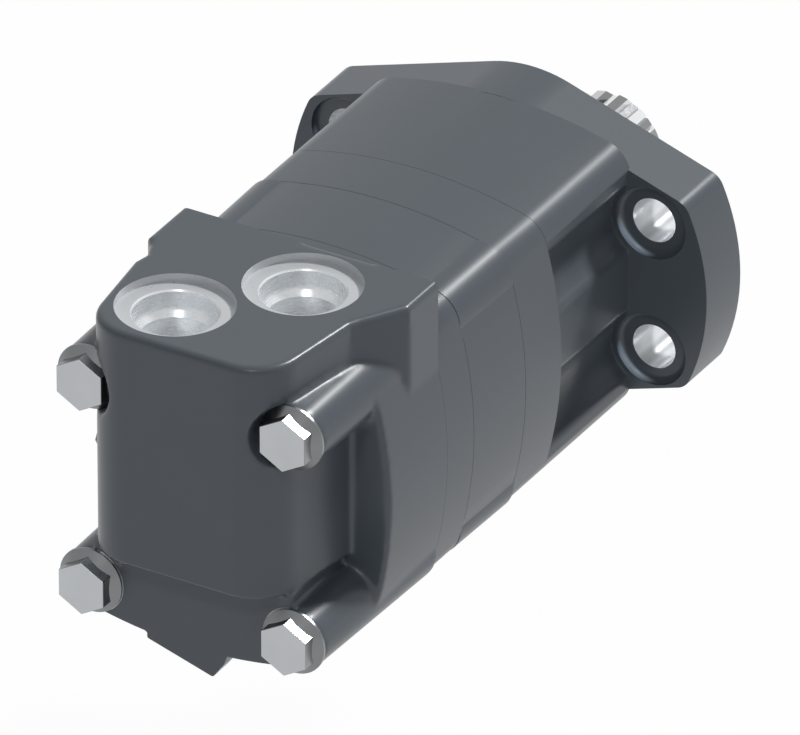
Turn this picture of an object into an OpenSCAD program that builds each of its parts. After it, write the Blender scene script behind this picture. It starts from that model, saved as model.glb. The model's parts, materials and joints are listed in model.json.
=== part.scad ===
// Orbital hydraulic motor with a rotary disc valve, a four-bolt flange and a splined shaft.
// +X runs out along the shaft and +Z up through the ports. The origin is on the shaft's
// axis, in the plane of the flange's mounting face. Millimetres.

/* [Body] */
// Wall between the geroler's pockets and the housing screws' holes
screw_wall = 3.2; // [2.6:0.1:5]
// Direction of the housing screws from the motor axis, above the horizontal, in degrees
screw_angle = 45.2; // [44:0.1:46]
// Radius of the body's corners, round the screws
corner_r = 9.8; // [9:0.1:10.4]
// How far the body's faces bulge beyond its corners
face_bulge = 4.3; // [3:0.1:6]
// How far the geroler ring's corners stand proud of its neighbours
ring_corner_extra = 0.6; // [0:0.1:1]
// Thickness of the wear plate
wear_plate_t = 19.6; // [17:0.1:23]
// Thickness of the geroler ring
geroler_t = 28.3; // [26:0.1:34]
// Thickness of the valve plate
valve_plate_t = 14.5; // [12:0.1:18]

/* [Flange] */
// Thickness of the mounting flange
flange_t = 19; // [15:0.5:22]
// Radius of the flange's round ends
flange_end_r = 67.2; // [66:0.1:69]
// Height of the flange's straight edges above the body's faces, measured at the middle
flange_edge_rise = 2.49; // [1.69:0.1:4.19]
// Slope of the flange's straight edges, in degrees
flange_slope = 18.2; // [17:0.1:19]
// Radius of the flange's top and bottom
flange_apex_r = 40; // [30:1:50]
// Radius that rounds the flange's outer corners
flange_corner_r = 6; // [4:0.5:8]
// Distance of each flange hole from the axis, sideways
flange_hole_y = 49.2; // [48.8:0.1:50]
// Distance of each flange hole from the axis, up and down
flange_hole_z = 20.4; // [20:0.1:20.8]
// Radius of the flange holes
flange_hole_r = 6.8; // [5.5:0.1:7.2]
// Radius of the flat seat round each flange hole
flange_seat_r = 11.2; // [10.4:0.1:11.8]
// Depth of the seats round the flange holes
flange_seat_depth = 2; // [1:0.1:3]
// Radius of the bolt clearance cut into the body beside each flange hole
bolt_clearance_r = 12.9; // [12.2:0.1:14.4]
// Radius of the centring pilot
pilot_r = 41.275; // [40:0.005:42]
// Height of the centring pilot
pilot_h = 2.8; // [2:0.1:5]

/* [Bearing housing] */
// Length of the bearing housing behind the flange
bearing_housing_l = 45.2; // [45:0.1:49]
// How far the bearing housing's flat sides lie inside its corners
side_inset = 0.3; // [0.1:0.1:1]

/* [Valve housing] */
// Length from the valve housing's front joint back to the seats of the screw heads
valve_housing_l = 58.9; // [57:0.1:62]
// Length of the wide front block of the valve housing
front_block_l = 31.4; // [30:0.1:33]
// How far the tower's rear wall stands behind the screw seats
tower_overhang = 8.5; // [6:0.1:10]
// How far the tower's walls lie inside the axes of the housing screws
tower_inset = 0.88; // [0.08:0.1:1.48]
// How far the tower widens on each side towards the front block
tower_flare = 3; // [2:0.1:4]
// Radius of the tower's rear corners
tower_corner_r = 14.5; // [12:0.5:16]
// Height of the port deck above the axis
deck_z = 55; // [54:0.1:58]
// Lowest level of the tower's rear wall
tower_bottom_z = -18.7; // [-21:0.1:-16]
// How far the deck's right wing ends inside the body's side
wing_right_inset = 2.81; // [2.41:0.1:3.81]
// How far the deck's left wing ends inside the body's side
wing_left_inset = 8.81; // [6.81:0.1:9.81]
// Length of the deck's wings
wing_l = 15.4; // [13:0.1:18]
// Lowest level of the right wing
wing_bottom_z = 21; // [18:0.5:24]
// Radius of the screw bosses at their seats
boss_rear_r = 9.5; // [9:0.1:10]
// Radius of the screw bosses at the front joint
boss_front_r = 10.6; // [10:0.1:11.2]

/* [Ports] */
// Distance of the rear port ahead of the screw seats
port_a_from_seats = 12.3; // [12:0.1:13]
// Distance of the front port ahead of the screw seats
port_b_from_seats = 39.5; // [38.5:0.1:40]
// Distance of each port from the middle of the deck, sideways
port_y = 12.35; // [12:0.05:12.8]
// Radius of the ports' seal seats
port_seat_r = 17; // [16:0.1:17.2]
// Depth of the ports' seal seats
port_seat_depth = 2.5; // [1.5:0.1:3]
// Radius of the ports' mouths, at the foot of the seats
port_mouth_r = 12.1; // [11.4:0.1:13]
// Radius of the ports' threaded holes, at the thread crests
port_r = 10.2; // [9.6:0.1:10.8]
// Depth of the ports' wide mouths below the seats
port_mouth_depth = 4.5; // [3:0.1:6]
// Full depth of the ports, from the deck
port_depth = 21; // [20:0.5:22]
// Radius of the oil passages
passage_r = 5.5; // [4:0.1:6]

/* [Housing screws] */
// Radius of the housing screws
screw_r = 4.76; // [4.4:0.01:4.9]
// Radius of the screws' clearance holes
screw_hole_r = 5.2; // [5:0.1:5.4]
// Width of the screw heads across their flats
screw_head_af = 14.29; // [13:0.01:16]
// Height of the screw heads
screw_head_h = 6.1; // [5:0.1:7]
// Radius of the flanges under the screw heads
screw_flange_r = 9.9; // [9.2:0.1:10.4]
// Depth of the screw thread in the bearing housing
screw_thread_l = 21; // [16:0.5:23]

/* [Geroler] */
// Radius of the circle that the roller centres lie on
roller_circle_r = 30; // [29.8:0.05:30.4]
// Radius of each geroler roller
roller_r = 7.5; // [7.4:0.05:7.6]
// Offset of the star's axis from the motor axis
star_offset = 2.9; // [2.7:0.05:2.95]
// How far the ring's wall between the rollers stands inside their circle
ring_wall_inset = 1; // [0.6:0.05:1.1]
// Running clearance round the star and the rollers
geroler_gap = 0.2; // [0.15:0.01:0.25]

/* [Output shaft] */
// How far the shaft stands out of the flange
shaft_reach = 47; // [40:0.5:60]
// Radius of the output spline over its teeth
spline_r = 15.875; // [15:0.005:16.5]
// Depth of the output spline's teeth
spline_depth = 2.1; // [1.5:0.1:2.5]
// Length of the output spline
spline_l = 33; // [26:0.5:35]
// Radius of the shaft where the seals run
journal_r = 17.5; // [17.2:0.1:18]
// Radius of the shaft inside the rear bearing
cup_r = 22; // [21.5:0.1:22.5]
// Radius of the shaft's collar between the bearings
collar_r = 25; // [24.6:0.1:25.6]

/* [Bearings] */
// Outer radius of the front bearing
front_bearing_r = 31; // [30.6:0.1:31.6]
// Width of the front bearing
front_bearing_w = 16; // [15:0.1:17]
// Outer radius of the rear bearing
rear_bearing_r = 33.5; // [33:0.1:34]
// Width of the rear bearing
rear_bearing_w = 18; // [17:0.1:18.4]
// Angle of the bearing rollers to the axis, in degrees
bearing_angle = 12; // [10:0.5:14]
// Half the taper of a bearing roller, in degrees
roller_taper = 1.5; // [1:0.1:2]

/* [Seals] */
// Outer radius of the shaft seal
shaft_seal_r = 26; // [25:0.1:27]
// Width of the shaft seal
shaft_seal_w = 9; // [8:0.1:10]
// Thickness of the washer behind the shaft seal
seal_washer_t = 1.6; // [1:0.1:2]
// Outer radius of the dust seal
dust_seal_r = 22.5; // [21.5:0.1:24]
// Width of the dust seal
dust_seal_w = 4.5; // [4:0.1:5]
// Land between the body seals' grooves and the screw holes
seal_land = 0.85; // [0.6:0.05:2]
// Radius of the body seals' own section
body_seal_r = 0.85; // [0.7:0.05:0.9]

/* [Splined links] */
// Radius of the drive splines over their teeth
drive_spline_r = 13.4; // [13:0.1:13.6]
// Depth of the drive splines' teeth
drive_spline_depth = 1.7; // [1.4:0.1:1.9]
// Clearance that lets a splined link tilt
drive_spline_gap = 0.5; // [0.45:0.01:0.6]
// Length of the drive link's splined heads
link_head_l = 12; // [10:0.5:12.5]
// Radius of the drive link's waist
link_waist_r = 8.5; // [7:0.1:9.5]
// Length of the valve drive's splined heads
valve_drive_head_l = 8; // [7:0.5:8.5]
// Radius of the valve drive's waist
valve_drive_waist_r = 6; // [5:0.1:6.5]
// Radius of the valve drive's rear spline over its teeth
valve_spline_r = 9; // [8.5:0.1:9.4]
// Depth of the teeth of the valve drive's rear spline
valve_spline_depth = 1.4; // [1.2:0.1:1.6]
// Thickness of the drive spacer
drive_spacer_t = 2.6; // [2:0.1:3]
// Radius of the drive spacer
drive_spacer_r = 11.4; // [11:0.1:11.5]

/* [Rotary valve] */
// Space round the rotary valve in its chamber
valve_space = 2; // [1.4:0.1:3]
// Thickness of the rotary valve
valve_t = 12.7; // [12:0.1:13.4]
// Radius of the rotary valve's hub
valve_hub_r = 16; // [15:0.1:17]
// Length of the rotary valve's hub
valve_hub_l = 6.4; // [6:0.1:7]
// Land between the valve chamber and the body seal's groove
chamber_land = 2.95; // [2.5:0.05:4]
// Running gap in front of and behind the rotary valve
valve_gap = 0.3; // [0.25:0.01:0.4]

/* [Balance ring] */
// Thickness of the balance ring's flange
balance_flange_t = 7; // [6:0.1:7.4]
// Length of the balance ring's skirt
balance_skirt_l = 11; // [10:0.1:11.6]
// Space round the balance ring in the valve chamber
balance_space = 3; // [2:0.1:3.4]
// How far the balance ring's flange stands out beyond its skirt
balance_lip = 2.6; // [2:0.1:3]
// Thickness of the balance ring's skirt
skirt_t = 6.4; // [6:0.1:7]
// Radius of the balance pins
balance_pin_r = 1.5; // [1.2:0.1:1.6]
// Outer radius of the balance springs
balance_spring_r = 2.3; // [2:0.1:2.4]
// Radius of the balance springs' wire
balance_wire_r = 0.4; // [0.3:0.05:0.5]

/* [Case drain] */
// Radius of the drain plug's thread
drain_r = 5.4; // [5:0.1:6]
// Width of the drain plug's head across its flats
drain_head_af = 14; // [12:0.5:16]
// Height of the drain plug's head
drain_head_h = 3; // [2:0.1:4]

/* [Hidden] */
$fn = 96;

// Sizes across the motor, from the geroler outwards
screw_circle_r = roller_circle_r + roller_r + geroler_gap + screw_wall + screw_hole_r;
screw_y = screw_circle_r * cos(screw_angle);
screw_z = screw_circle_r * sin(screw_angle);
body_half = screw_z + corner_r + face_bulge;
flange_edge_z = body_half + flange_edge_rise;
tower_half_w = screw_y - tower_inset;
wing_right_w = body_half - wing_right_inset;
wing_left_w = body_half - wing_left_inset;
ring_wall_r = roller_circle_r - ring_wall_inset;
port_inset = 4.5;
port_circle_r = roller_circle_r - port_inset;
tower_root_half_w = tower_half_w + tower_flare;

// Body seals: grooves in the wear plate and the valve plate
seal_groove_w = 2 * body_seal_r + 0.4;
seal_groove_depth = 2 * body_seal_r + 0.1;
body_seal_circle_r = screw_circle_r - screw_hole_r - seal_land - seal_groove_w / 2;

// Valve chamber and what runs in it
chamber_r = body_seal_circle_r - seal_groove_w / 2 - chamber_land;
valve_r = chamber_r - valve_space;
balance_r = chamber_r - balance_space;
skirt_outer_r = balance_r - balance_lip;
skirt_inner_r = skirt_outer_r - skirt_t;

// Planes along the motor, from the flange back
x_flange_rear = -flange_t;
x_front_joint = x_flange_rear - bearing_housing_l;
x_wear_joint = x_front_joint - wear_plate_t;
x_ring_joint = x_wear_joint - geroler_t;
x_valve_joint = x_ring_joint - valve_plate_t;
x_seats = x_valve_joint - valve_housing_l;
x_tower_rear = x_seats - tower_overhang;
x_block_rear = x_valve_joint - front_block_l;
port_a_x = x_seats + port_a_from_seats;
port_b_x = x_seats + port_b_from_seats;

// Cuts run this much past a face that they open, and bodies that merge overlap by as much
over = 0.5;
// Gap between pieces that are pressed or screwed together
fit_gap = 0.05;
// Gap between a seal's lip and the shaft, and between bearing rollers and races
running_gap = 0.1;
// Chamfer on turned and ground edges
edge_chamfer = 0.8;

// Arc that bulges each face of the body and runs smoothly into the corners
face_arc_y = (screw_y * screw_y + pow(screw_z - body_half, 2) - corner_r * corner_r)
    / (2 * (body_half - screw_z - corner_r));
face_arc_z = (screw_z * screw_z + pow(screw_y - body_half, 2) - corner_r * corner_r)
    / (2 * (body_half - screw_y - corner_r));

// Bearings and seals in the bearing housing
x_dust_seal = pilot_h - 1;
x_seal_shoulder = x_dust_seal - dust_seal_w - 1;
x_shaft_seal = x_seal_shoulder - fit_gap;
x_seal_washer = x_shaft_seal - shaft_seal_w;
x_front_bearing = x_seal_washer - seal_washer_t - fit_gap;
x_collar_front = x_front_bearing - front_bearing_w;
shaft_rear_gap = 2.2;
rear_bearing_inset = 1;
x_shaft_rear = x_front_joint + shaft_rear_gap;
x_rear_bearing = x_shaft_rear + rear_bearing_inset + rear_bearing_w;

// Splined links
drive_teeth = 12;
valve_teeth = 10;
output_teeth = 14;
link_inset = 22;
link_ring_inset = 2.7;
link_nose = 0.8;
link_front_x = x_shaft_rear + link_inset;
link_rear_x = x_wear_joint - link_head_l / 2 - link_ring_inset;
spacer_gap = 0.5;
x_spacer = link_rear_x - link_head_l / 2 - link_nose - spacer_gap;
valve_drive_front_x = x_spacer - drive_spacer_t - spacer_gap - link_nose - valve_drive_head_l / 2;
x_valve_face = x_valve_joint - valve_gap;
x_valve_back = x_valve_face - valve_t;
valve_drive_inset = 0.5;
valve_drive_rear_x = x_valve_back + valve_drive_inset;
link_l = link_front_x - link_rear_x;
link_tilt = asin(star_offset / link_l);
valve_drive_l = valve_drive_front_x - valve_drive_rear_x;
valve_drive_tilt = asin(star_offset / valve_drive_l);

// Geroler
rollers = 7;
star_lobes = rollers - 1;
star_points = star_lobes * 28;

// Balance ring and chamber
x_balance_front = x_valve_back - valve_gap;
x_balance_step = x_balance_front - balance_flange_t;
x_balance_rear = x_balance_step - balance_skirt_l;
chamber_past_flange = 5;
x_chamber_rear = x_balance_step - chamber_past_flange;
skirt_gap = 0.35;
x_skirt_groove = x_balance_rear - skirt_gap;
skirt_mid_r = (skirt_inner_r + skirt_outer_r) / 2;
face_seal_w = 2;
face_seal_depth = 1.3;
face_seal_inset = 4;
x_face_seal = x_balance_rear + face_seal_inset;
spring_pocket = 5.6;
pin_depth = 4;
inner_chamber_r = 12;

// Space for a wrench round each screw head
head_clearance = 0.3;
head_space_r = screw_flange_r + head_clearance;

// Case drain, in the left wall of the tower
drain_from_seats = 13;
drain_x = x_seats + drain_from_seats;
drain_z = 9;
drain_depth = 13;
drain_seat_r = 9;
drain_seat_depth = 0.6;
drain_wall_y = tower_half_w - drain_seat_depth;
drain_thread_l = drain_depth - 3;
drain_passage_r = 2.5;
drain_groove_w = 2;
drain_groove_depth = 1.1;

// Extrudes a flat shape, drawn in Y and Z, from x0 to x1
module along_x(x0, x1) {
    translate([x0, 0, 0]) rotate([90, 0, 90]) linear_extrude(x1 - x0) children();
}

// A round bar about an axis along X at height z and side y
module bar(x0, x1, r, y = 0, z = 0) {
    translate([x0, y, z]) rotate([0, 90, 0]) cylinder(h = x1 - x0, r = r);
}

// A cone about an axis along X
module cone(x0, x1, r0, r1, y = 0, z = 0) {
    translate([x0, y, z]) rotate([0, 90, 0]) cylinder(h = x1 - x0, r1 = r0, r2 = r1);
}

// A turned shape from [radius, x] points
module turned(points) {
    rotate([0, 90, 0]) rotate_extrude() polygon(points);
}

// A plain ring between two radii and two planes
module ring(x0, x1, r0, r1) {
    turned([[r0, x0], [r1, x0], [r1, x1], [r0, x1]]);
}

// A drilled hole from one point to another
module drill(from, to, r) {
    d = to - from;
    translate(from)
        rotate([0, acos(d[2] / norm(d)), atan2(d[1], d[0])])
            cylinder(h = norm(d), r = r);
}

// Places its children once at each housing screw
module at_screws() {
    for (y = [-screw_y, screw_y], z = [-screw_z, screw_z]) translate([0, y, z]) children();
}

// Places its children once at each flange hole
module at_flange_holes() {
    for (y = [-flange_hole_y, flange_hole_y], z = [-flange_hole_z, flange_hole_z])
        translate([0, y, z]) children();
}

// One bulging face of the body: the piece of a large circle beyond its tangent points
module bulge(arc_r, out, side) {
    centre = out - arc_r;
    reach = arc_r / (arc_r - corner_r);
    tangent = [side * reach, centre + (sqrt(pow(arc_r - corner_r, 2) - side * side)) * reach];
    intersection() {
        translate([0, centre]) circle(arc_r, $fn = 360);
        translate([-tangent[0], 0]) square([2 * tangent[0], out + 1]);
    }
}

// The body's outline: four bulging faces between four round corners
module body_outline(extra = 0) {
    for (turn = [0, 180]) {
        rotate(turn) bulge(face_arc_y, body_half, screw_y);
        rotate(turn + 90) bulge(face_arc_z, body_half, screw_z);
    }
    for (y = [-screw_y, screw_y], z = [-screw_z, screw_z])
        translate([y, z]) circle(corner_r + extra);
}

// A spline's outline; the gap widens it into the matching internal spline
module spline_outline(teeth, tip_r, depth, gap = 0) {
    pitch = 360 / teeth;
    root = tip_r - depth;
    root_half = 0.33 * pitch + gap / root * 180 / PI;
    tip_half = 0.2 * pitch + gap / tip_r * 180 / PI;
    polygon([
        for (i = [0 : teeth - 1], corner = [
            [root + gap, -root_half], [tip_r + gap, -tip_half],
            [tip_r + gap, tip_half], [root + gap, root_half]])
        let (a = i * pitch + corner[1]) corner[0] * [cos(a), sin(a)]
    ]);
}

// A groove in a face for a body seal, opening towards +X (side 1) or -X (side -1)
module seal_groove(x, side) {
    x0 = side > 0 ? x - seal_groove_depth : x - over;
    x1 = side > 0 ? x + over : x + seal_groove_depth;
    ring(x0, x1, body_seal_circle_r - seal_groove_w / 2, body_seal_circle_r + seal_groove_w / 2);
}

// Plan of the tower and the deck, drawn in X and Y
module deck_plan() {
    rear = x_tower_rear + tower_corner_r;
    rear_half = tower_half_w - tower_corner_r;
    wing_x = x_valve_joint - wing_l;
    // Steps in X and Y where the wings' slopes start and end
    right_step = [3, 1.5];
    left_start = [5, -1];
    left_end = [6, -2.5];
    left_corner = 3;
    hull() {
        for (y = [-rear_half, rear_half]) translate([rear, y]) circle(tower_corner_r);
        translate([x_block_rear, -tower_root_half_w]) square([over, 2 * tower_root_half_w]);
    }
    polygon([
        [x_block_rear, -tower_root_half_w],
        [x_block_rear + right_step[0], -tower_root_half_w - right_step[1]],
        [wing_x, -wing_right_w], [x_valve_joint, -wing_right_w],
        [x_valve_joint, wing_left_w], [wing_x - left_corner, wing_left_w],
        [wing_x - left_end[0], wing_left_w + left_end[1]],
        [x_block_rear + left_start[0], tower_root_half_w + left_start[1]],
        [x_block_rear, tower_root_half_w]
    ]);
}

// The tower under the deck, as far out as the tower walls only
module tower_plan() {
    intersection() {
        deck_plan();
        translate([x_tower_rear - over, -tower_root_half_w])
            square([x_valve_joint - x_tower_rear + over, 2 * tower_root_half_w]);
    }
}

// Part of the casting below the tower: its floor bulges and drafts like the body's
module lower_rear() {
    draft = 4;
    past = 20;
    intersection() {
        translate([x_seats, -tower_half_w, -body_half - 1])
            cube([x_block_rear + over - x_seats, 2 * tower_half_w, body_half + 1 + tower_bottom_z + over]);
        translate([x_block_rear, 0, face_arc_y - body_half])
            rotate([0, draft, 0]) translate([x_seats - x_block_rear - past, 0, 0]) rotate([0, 90, 0])
                cylinder(h = 2 * (x_block_rear - x_seats) + past, r = face_arc_y, $fn = 360);
    }
}

// Small cast wedge under the rear of the valve housing
module foot_lug() {
    lug_l = 8.7;
    root = 3;
    left = [15, 0.4];
    tip = [-6.1, -5.9];
    right = [-9.8, -0.7];
    translate([0, 0, -body_half]) along_x(x_seats, x_seats + lug_l)
        polygon([[left[0], root], left, tip, right, [right[0] - 1.2, root]]);
}

module port(x, y) {
    translate([x, y, 0]) {
        translate([0, 0, deck_z - port_seat_depth])
            cylinder(h = port_seat_depth + over, r = port_seat_r);
        translate([0, 0, deck_z - port_seat_depth - port_mouth_depth])
            cylinder(h = port_mouth_depth + over, r = port_mouth_r);
        translate([0, 0, deck_z - port_depth])
            cylinder(h = port_depth - port_seat_depth - port_mouth_depth + over, r = port_r);
    }
}

module valve_housing() {
    // The rear port's passage ends this far ahead of the port, and to its side of the axis
    passage_lead = 4;
    passage_side = 3;
    // The front port's passage runs this far into the valve chamber
    passage_reach = 7;
    spring_clearance = 0.3;
    color("dimgray") difference() {
        union() {
            along_x(x_block_rear, x_valve_joint) body_outline();
            translate([0, 0, tower_bottom_z]) linear_extrude(deck_z - tower_bottom_z) tower_plan();
            translate([0, 0, wing_bottom_z]) linear_extrude(deck_z - wing_bottom_z) deck_plan();
            lower_rear();
            foot_lug();
            at_screws() cone(x_seats, x_valve_joint, boss_rear_r, boss_front_r);
        }
        at_screws() {
            bar(x_seats - over, x_valve_joint + over, screw_hole_r);
            bar(x_tower_rear - over, x_seats, head_space_r);
        }
        port(port_a_x, port_y);
        port(port_b_x, -port_y);
        // Oil passages: the rear port feeds the inner chamber, the front port the outer one
        drill([port_a_x, port_y, deck_z - port_depth + over],
            [port_a_x + passage_lead, passage_side, 0], passage_r);
        drill([port_b_x, -port_y, deck_z - port_depth + over],
            [port_b_x, -port_y, chamber_r - passage_reach], passage_r);
        bar(x_chamber_rear, x_valve_joint + over, chamber_r);
        bar(port_a_x - passage_r - over, x_chamber_rear + over, inner_chamber_r);
        ring(x_skirt_groove, x_chamber_rear + over, skirt_inner_r - skirt_gap, skirt_outer_r + skirt_gap);
        balance_pin_holes(x_balance_rear - pin_depth - over, x_skirt_groove + over);
        for (a = [90, 210, 330]) rotate([a, 0, 0])
            bar(x_skirt_groove - spring_pocket, x_skirt_groove + over,
                balance_spring_r + spring_clearance, skirt_mid_r);
        // Case drain in the left wall
        translate([drain_x, drain_wall_y, drain_z]) rotate([-90, 0, 0]) {
            translate([0, 0, -drain_depth]) cylinder(h = drain_depth + over, r = drain_r + fit_gap);
            cylinder(h = tower_root_half_w - drain_wall_y + over, r = drain_seat_r);
        }
        drill([drain_x, drain_wall_y - drain_depth + over, drain_z], [drain_x, 0, 0], drain_passage_r);
    }
}

// Two pin holes, or the pins' places, between two planes
module balance_pin_holes(x0, x1, gap = 0.1) {
    for (a = [0, 180]) rotate([a, 0, 0]) bar(x0, x1, balance_pin_r + gap, skirt_mid_r);
}

module valve_plate() {
    hole_r = 2.8;
    centre_r = 12.5;
    // The valve drive's front head sweeps through this relief as it orbits
    relief_clearance = 0.7;
    relief_r = drive_spline_r + star_offset + relief_clearance;
    relief_depth = 1.6;
    color("dimgray") difference() {
        along_x(x_valve_joint, x_ring_joint) body_outline();
        at_screws() bar(x_valve_joint - over, x_ring_joint + over, screw_hole_r);
        bar(x_valve_joint - over, x_ring_joint + over, centre_r);
        for (i = [0 : rollers - 1]) rotate([(i + 0.5) * 360 / rollers, 0, 0])
            bar(x_valve_joint - over, x_ring_joint + over, hole_r, port_circle_r);
        bar(x_ring_joint - relief_depth, x_ring_joint + over, relief_r);
        seal_groove(x_valve_joint, -1);
        seal_groove(x_ring_joint, 1);
    }
}

module geroler_ring() {
    color("dimgray") difference() {
        along_x(x_ring_joint, x_wear_joint) body_outline(ring_corner_extra);
        at_screws() bar(x_ring_joint - over, x_wear_joint + over, screw_hole_r);
        bar(x_ring_joint - over, x_wear_joint + over, ring_wall_r);
        for (i = [0 : rollers - 1]) rotate([i * 360 / rollers, 0, 0])
            bar(x_ring_joint - over, x_wear_joint + over, roller_r + geroler_gap, roller_circle_r);
    }
}

module wear_plate() {
    link_hole_r = 18;
    color("dimgray") difference() {
        along_x(x_wear_joint, x_front_joint) body_outline();
        at_screws() bar(x_wear_joint - over, x_front_joint + over, screw_hole_r);
        bar(x_wear_joint - over, x_front_joint + over, link_hole_r);
        seal_groove(x_wear_joint, -1);
        seal_groove(x_front_joint, 1);
    }
}

// Flange outline: round ends, sloping straight edges and a round top and bottom
module flange_outline() {
    apex_centre = flange_edge_z - flange_apex_r / cos(flange_slope);
    tangent = [flange_apex_r * sin(flange_slope), apex_centre + flange_apex_r * cos(flange_slope)];
    // Centre of the corner round: inside the end circle and below the sloping edge
    inset_r = flange_end_r - flange_corner_r;
    drop = (flange_edge_z * cos(flange_slope) - flange_corner_r);
    corner_angle = 90 - flange_slope - acos(drop / inset_r);
    corner = inset_r * [cos(corner_angle), sin(corner_angle)];
    edge_end = corner + flange_corner_r * [sin(flange_slope), cos(flange_slope)];
    arc_end = corner * flange_end_r / inset_r;
    intersection() {
        union() {
            for (flip = [0, 1]) mirror([0, flip]) {
                polygon([
                    [-tangent[0], tangent[1]], [-edge_end[0], edge_end[1]], [-corner[0], corner[1]],
                    [-arc_end[0], arc_end[1]], [-arc_end[0], 0], [arc_end[0], 0], arc_end, corner,
                    edge_end, tangent
                ]);
                intersection() {
                    translate([0, apex_centre]) circle(flange_apex_r);
                    translate([-tangent[0], 0]) square([2 * tangent[0], flange_edge_z]);
                }
                for (side = [-1, 1]) translate([side * corner[0], corner[1]]) circle(flange_corner_r);
            }
            intersection() {
                circle(flange_end_r, $fn = 240);
                square([2 * flange_end_r + 2, 2 * arc_end[1]], center = true);
            }
        }
        circle(flange_end_r, $fn = 240);
    }
}

module bearing_housing() {
    rim_land = 1.2;
    side_half = screw_y + corner_r - side_inset;
    color("dimgray") difference() {
        union() {
            along_x(x_flange_rear, 0) flange_outline();
            difference() {
                along_x(x_front_joint, x_flange_rear + over) intersection() {
                    body_outline();
                    square([2 * side_half, 2 * body_half + 2], center = true);
                }
                at_flange_holes() bar(x_front_joint - over, x_flange_rear, bolt_clearance_r);
            }
            bar(-over, pilot_h, pilot_r);
        }
        at_flange_holes() {
            bar(x_flange_rear - over, over, flange_hole_r);
            bar(x_flange_rear - over, x_flange_rear + flange_seat_depth, flange_seat_r);
        }
        at_screws() bar(x_front_joint - over, x_front_joint + screw_thread_l, screw_r + fit_gap);
        bar(x_front_joint - over, x_rear_bearing, rear_bearing_r + fit_gap);
        bar(x_rear_bearing - over, x_front_bearing + fit_gap, front_bearing_r + fit_gap);
        bar(x_front_bearing, x_seal_shoulder, shaft_seal_r + fit_gap);
        bar(x_seal_shoulder - over, x_dust_seal - dust_seal_w, journal_r + 2);
        bar(x_dust_seal - dust_seal_w - fit_gap, pilot_h + over, dust_seal_r + fit_gap);
        cone(pilot_h - rim_land, pilot_h + 0.01, dust_seal_r, dust_seal_r + rim_land);
    }
}

module housing_screws() {
    thread_end = 1.5;
    // The flange under each hexagon: a cone that rises out of the flats, and a thin rim
    rim_t = 0.8;
    cone_l = 2.1;
    cone_start_r = screw_head_af / 2 - 0.15;
    head_r = screw_head_af / 2 / cos(30);
    x_end = x_front_joint + screw_thread_l - 1;
    color("silver") at_screws() union() {
        bar(x_seats - rim_t / 2, x_end - thread_end, screw_r);
        cone(x_end - thread_end, x_end, screw_r, screw_r - 1);
        translate([x_seats - screw_head_h, 0, 0]) rotate([0, 90, 0])
            cylinder(h = screw_head_h - rim_t / 2, r = head_r, $fn = 6);
        cone(x_seats - rim_t - cone_l, x_seats - rim_t, cone_start_r, screw_flange_r);
        bar(x_seats - rim_t, x_seats, screw_flange_r);
    }
}

module body_seals() {
    depth = body_seal_r + fit_gap;
    color("darkslategray")
        for (x = [x_valve_joint + depth, x_ring_joint - depth, x_wear_joint + depth,
                  x_front_joint - depth])
            translate([x, 0, 0]) rotate([0, 90, 0]) rotate_extrude()
                translate([body_seal_circle_r, 0]) circle(body_seal_r, $fn = 24);
}

module drain_plug() {
    socket_r = 3.5;
    socket_depth = 2;
    color("dimgray") translate([drain_x, drain_wall_y + fit_gap, drain_z]) rotate([-90, 0, 0])
        difference() {
            union() {
                cylinder(h = drain_head_h, r = drain_head_af / 2 / cos(30), $fn = 6);
                translate([0, 0, -drain_thread_l]) cylinder(h = drain_thread_l + 0.2, r = drain_r);
            }
            translate([0, 0, drain_head_h - socket_depth])
                cylinder(h = socket_depth + over, r = socket_r, $fn = 6);
            translate([0, 0, -drain_groove_w]) rotate_extrude()
                translate([drain_r - drain_groove_depth, 0])
                    square([drain_groove_depth + 1, drain_groove_w]);
        }
}

module drain_plug_seal() {
    section_r = 0.5;
    color("black") translate([drain_x, drain_wall_y + fit_gap - drain_groove_w / 2, drain_z])
        rotate([-90, 0, 0]) rotate_extrude()
            translate([drain_r - drain_groove_depth / 2, 0]) circle(section_r, $fn = 24);
}

module output_shaft() {
    x_spline = shaft_reach - spline_l;
    neck = 5;
    neck_r = spline_r - spline_depth - 0.4;
    end_chamfer = 2.5;
    centre_r = 4.5;
    centre_depth = 4;
    // The bore is wider behind its spline, and goes on past it at the spline's root
    entry = 1.6;
    root_r = drive_spline_r - drive_spline_depth + drive_spline_gap - 0.3;
    bore_r = drive_spline_r + drive_spline_gap;
    bore_end = link_front_x + link_head_l / 2 + 4;
    color("lightgray") difference() {
        union() {
            bar(x_shaft_rear, x_rear_bearing + over, cup_r);
            bar(x_rear_bearing, x_collar_front, collar_r);
            bar(x_collar_front - over, x_spline - neck, journal_r);
            cone(x_spline - neck - 0.01, x_spline - neck + 2, journal_r, neck_r);
            bar(x_spline - neck, x_spline + over, neck_r);
            intersection() {
                along_x(x_spline, shaft_reach) spline_outline(output_teeth, spline_r, spline_depth);
                union() {
                    bar(x_spline, shaft_reach - end_chamfer, spline_r + 1);
                    cone(shaft_reach - end_chamfer - 0.01, shaft_reach, spline_r + 0.2,
                        spline_r + 0.2 - end_chamfer);
                }
            }
        }
        // Bored out for the drive link, with its internal spline at the bottom
        bar(x_shaft_rear - over, link_front_x - link_head_l / 2 - 2, bore_r + entry);
        along_x(x_shaft_rear - over, link_front_x + link_head_l / 2 + 1)
            spline_outline(drive_teeth, drive_spline_r, drive_spline_depth, drive_spline_gap);
        bar(x_shaft_rear, bore_end, root_r);
        // Centre drilling in the shaft's end
        cone(shaft_reach - centre_depth, shaft_reach + 0.01, 1, centre_r);
    }
}

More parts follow.
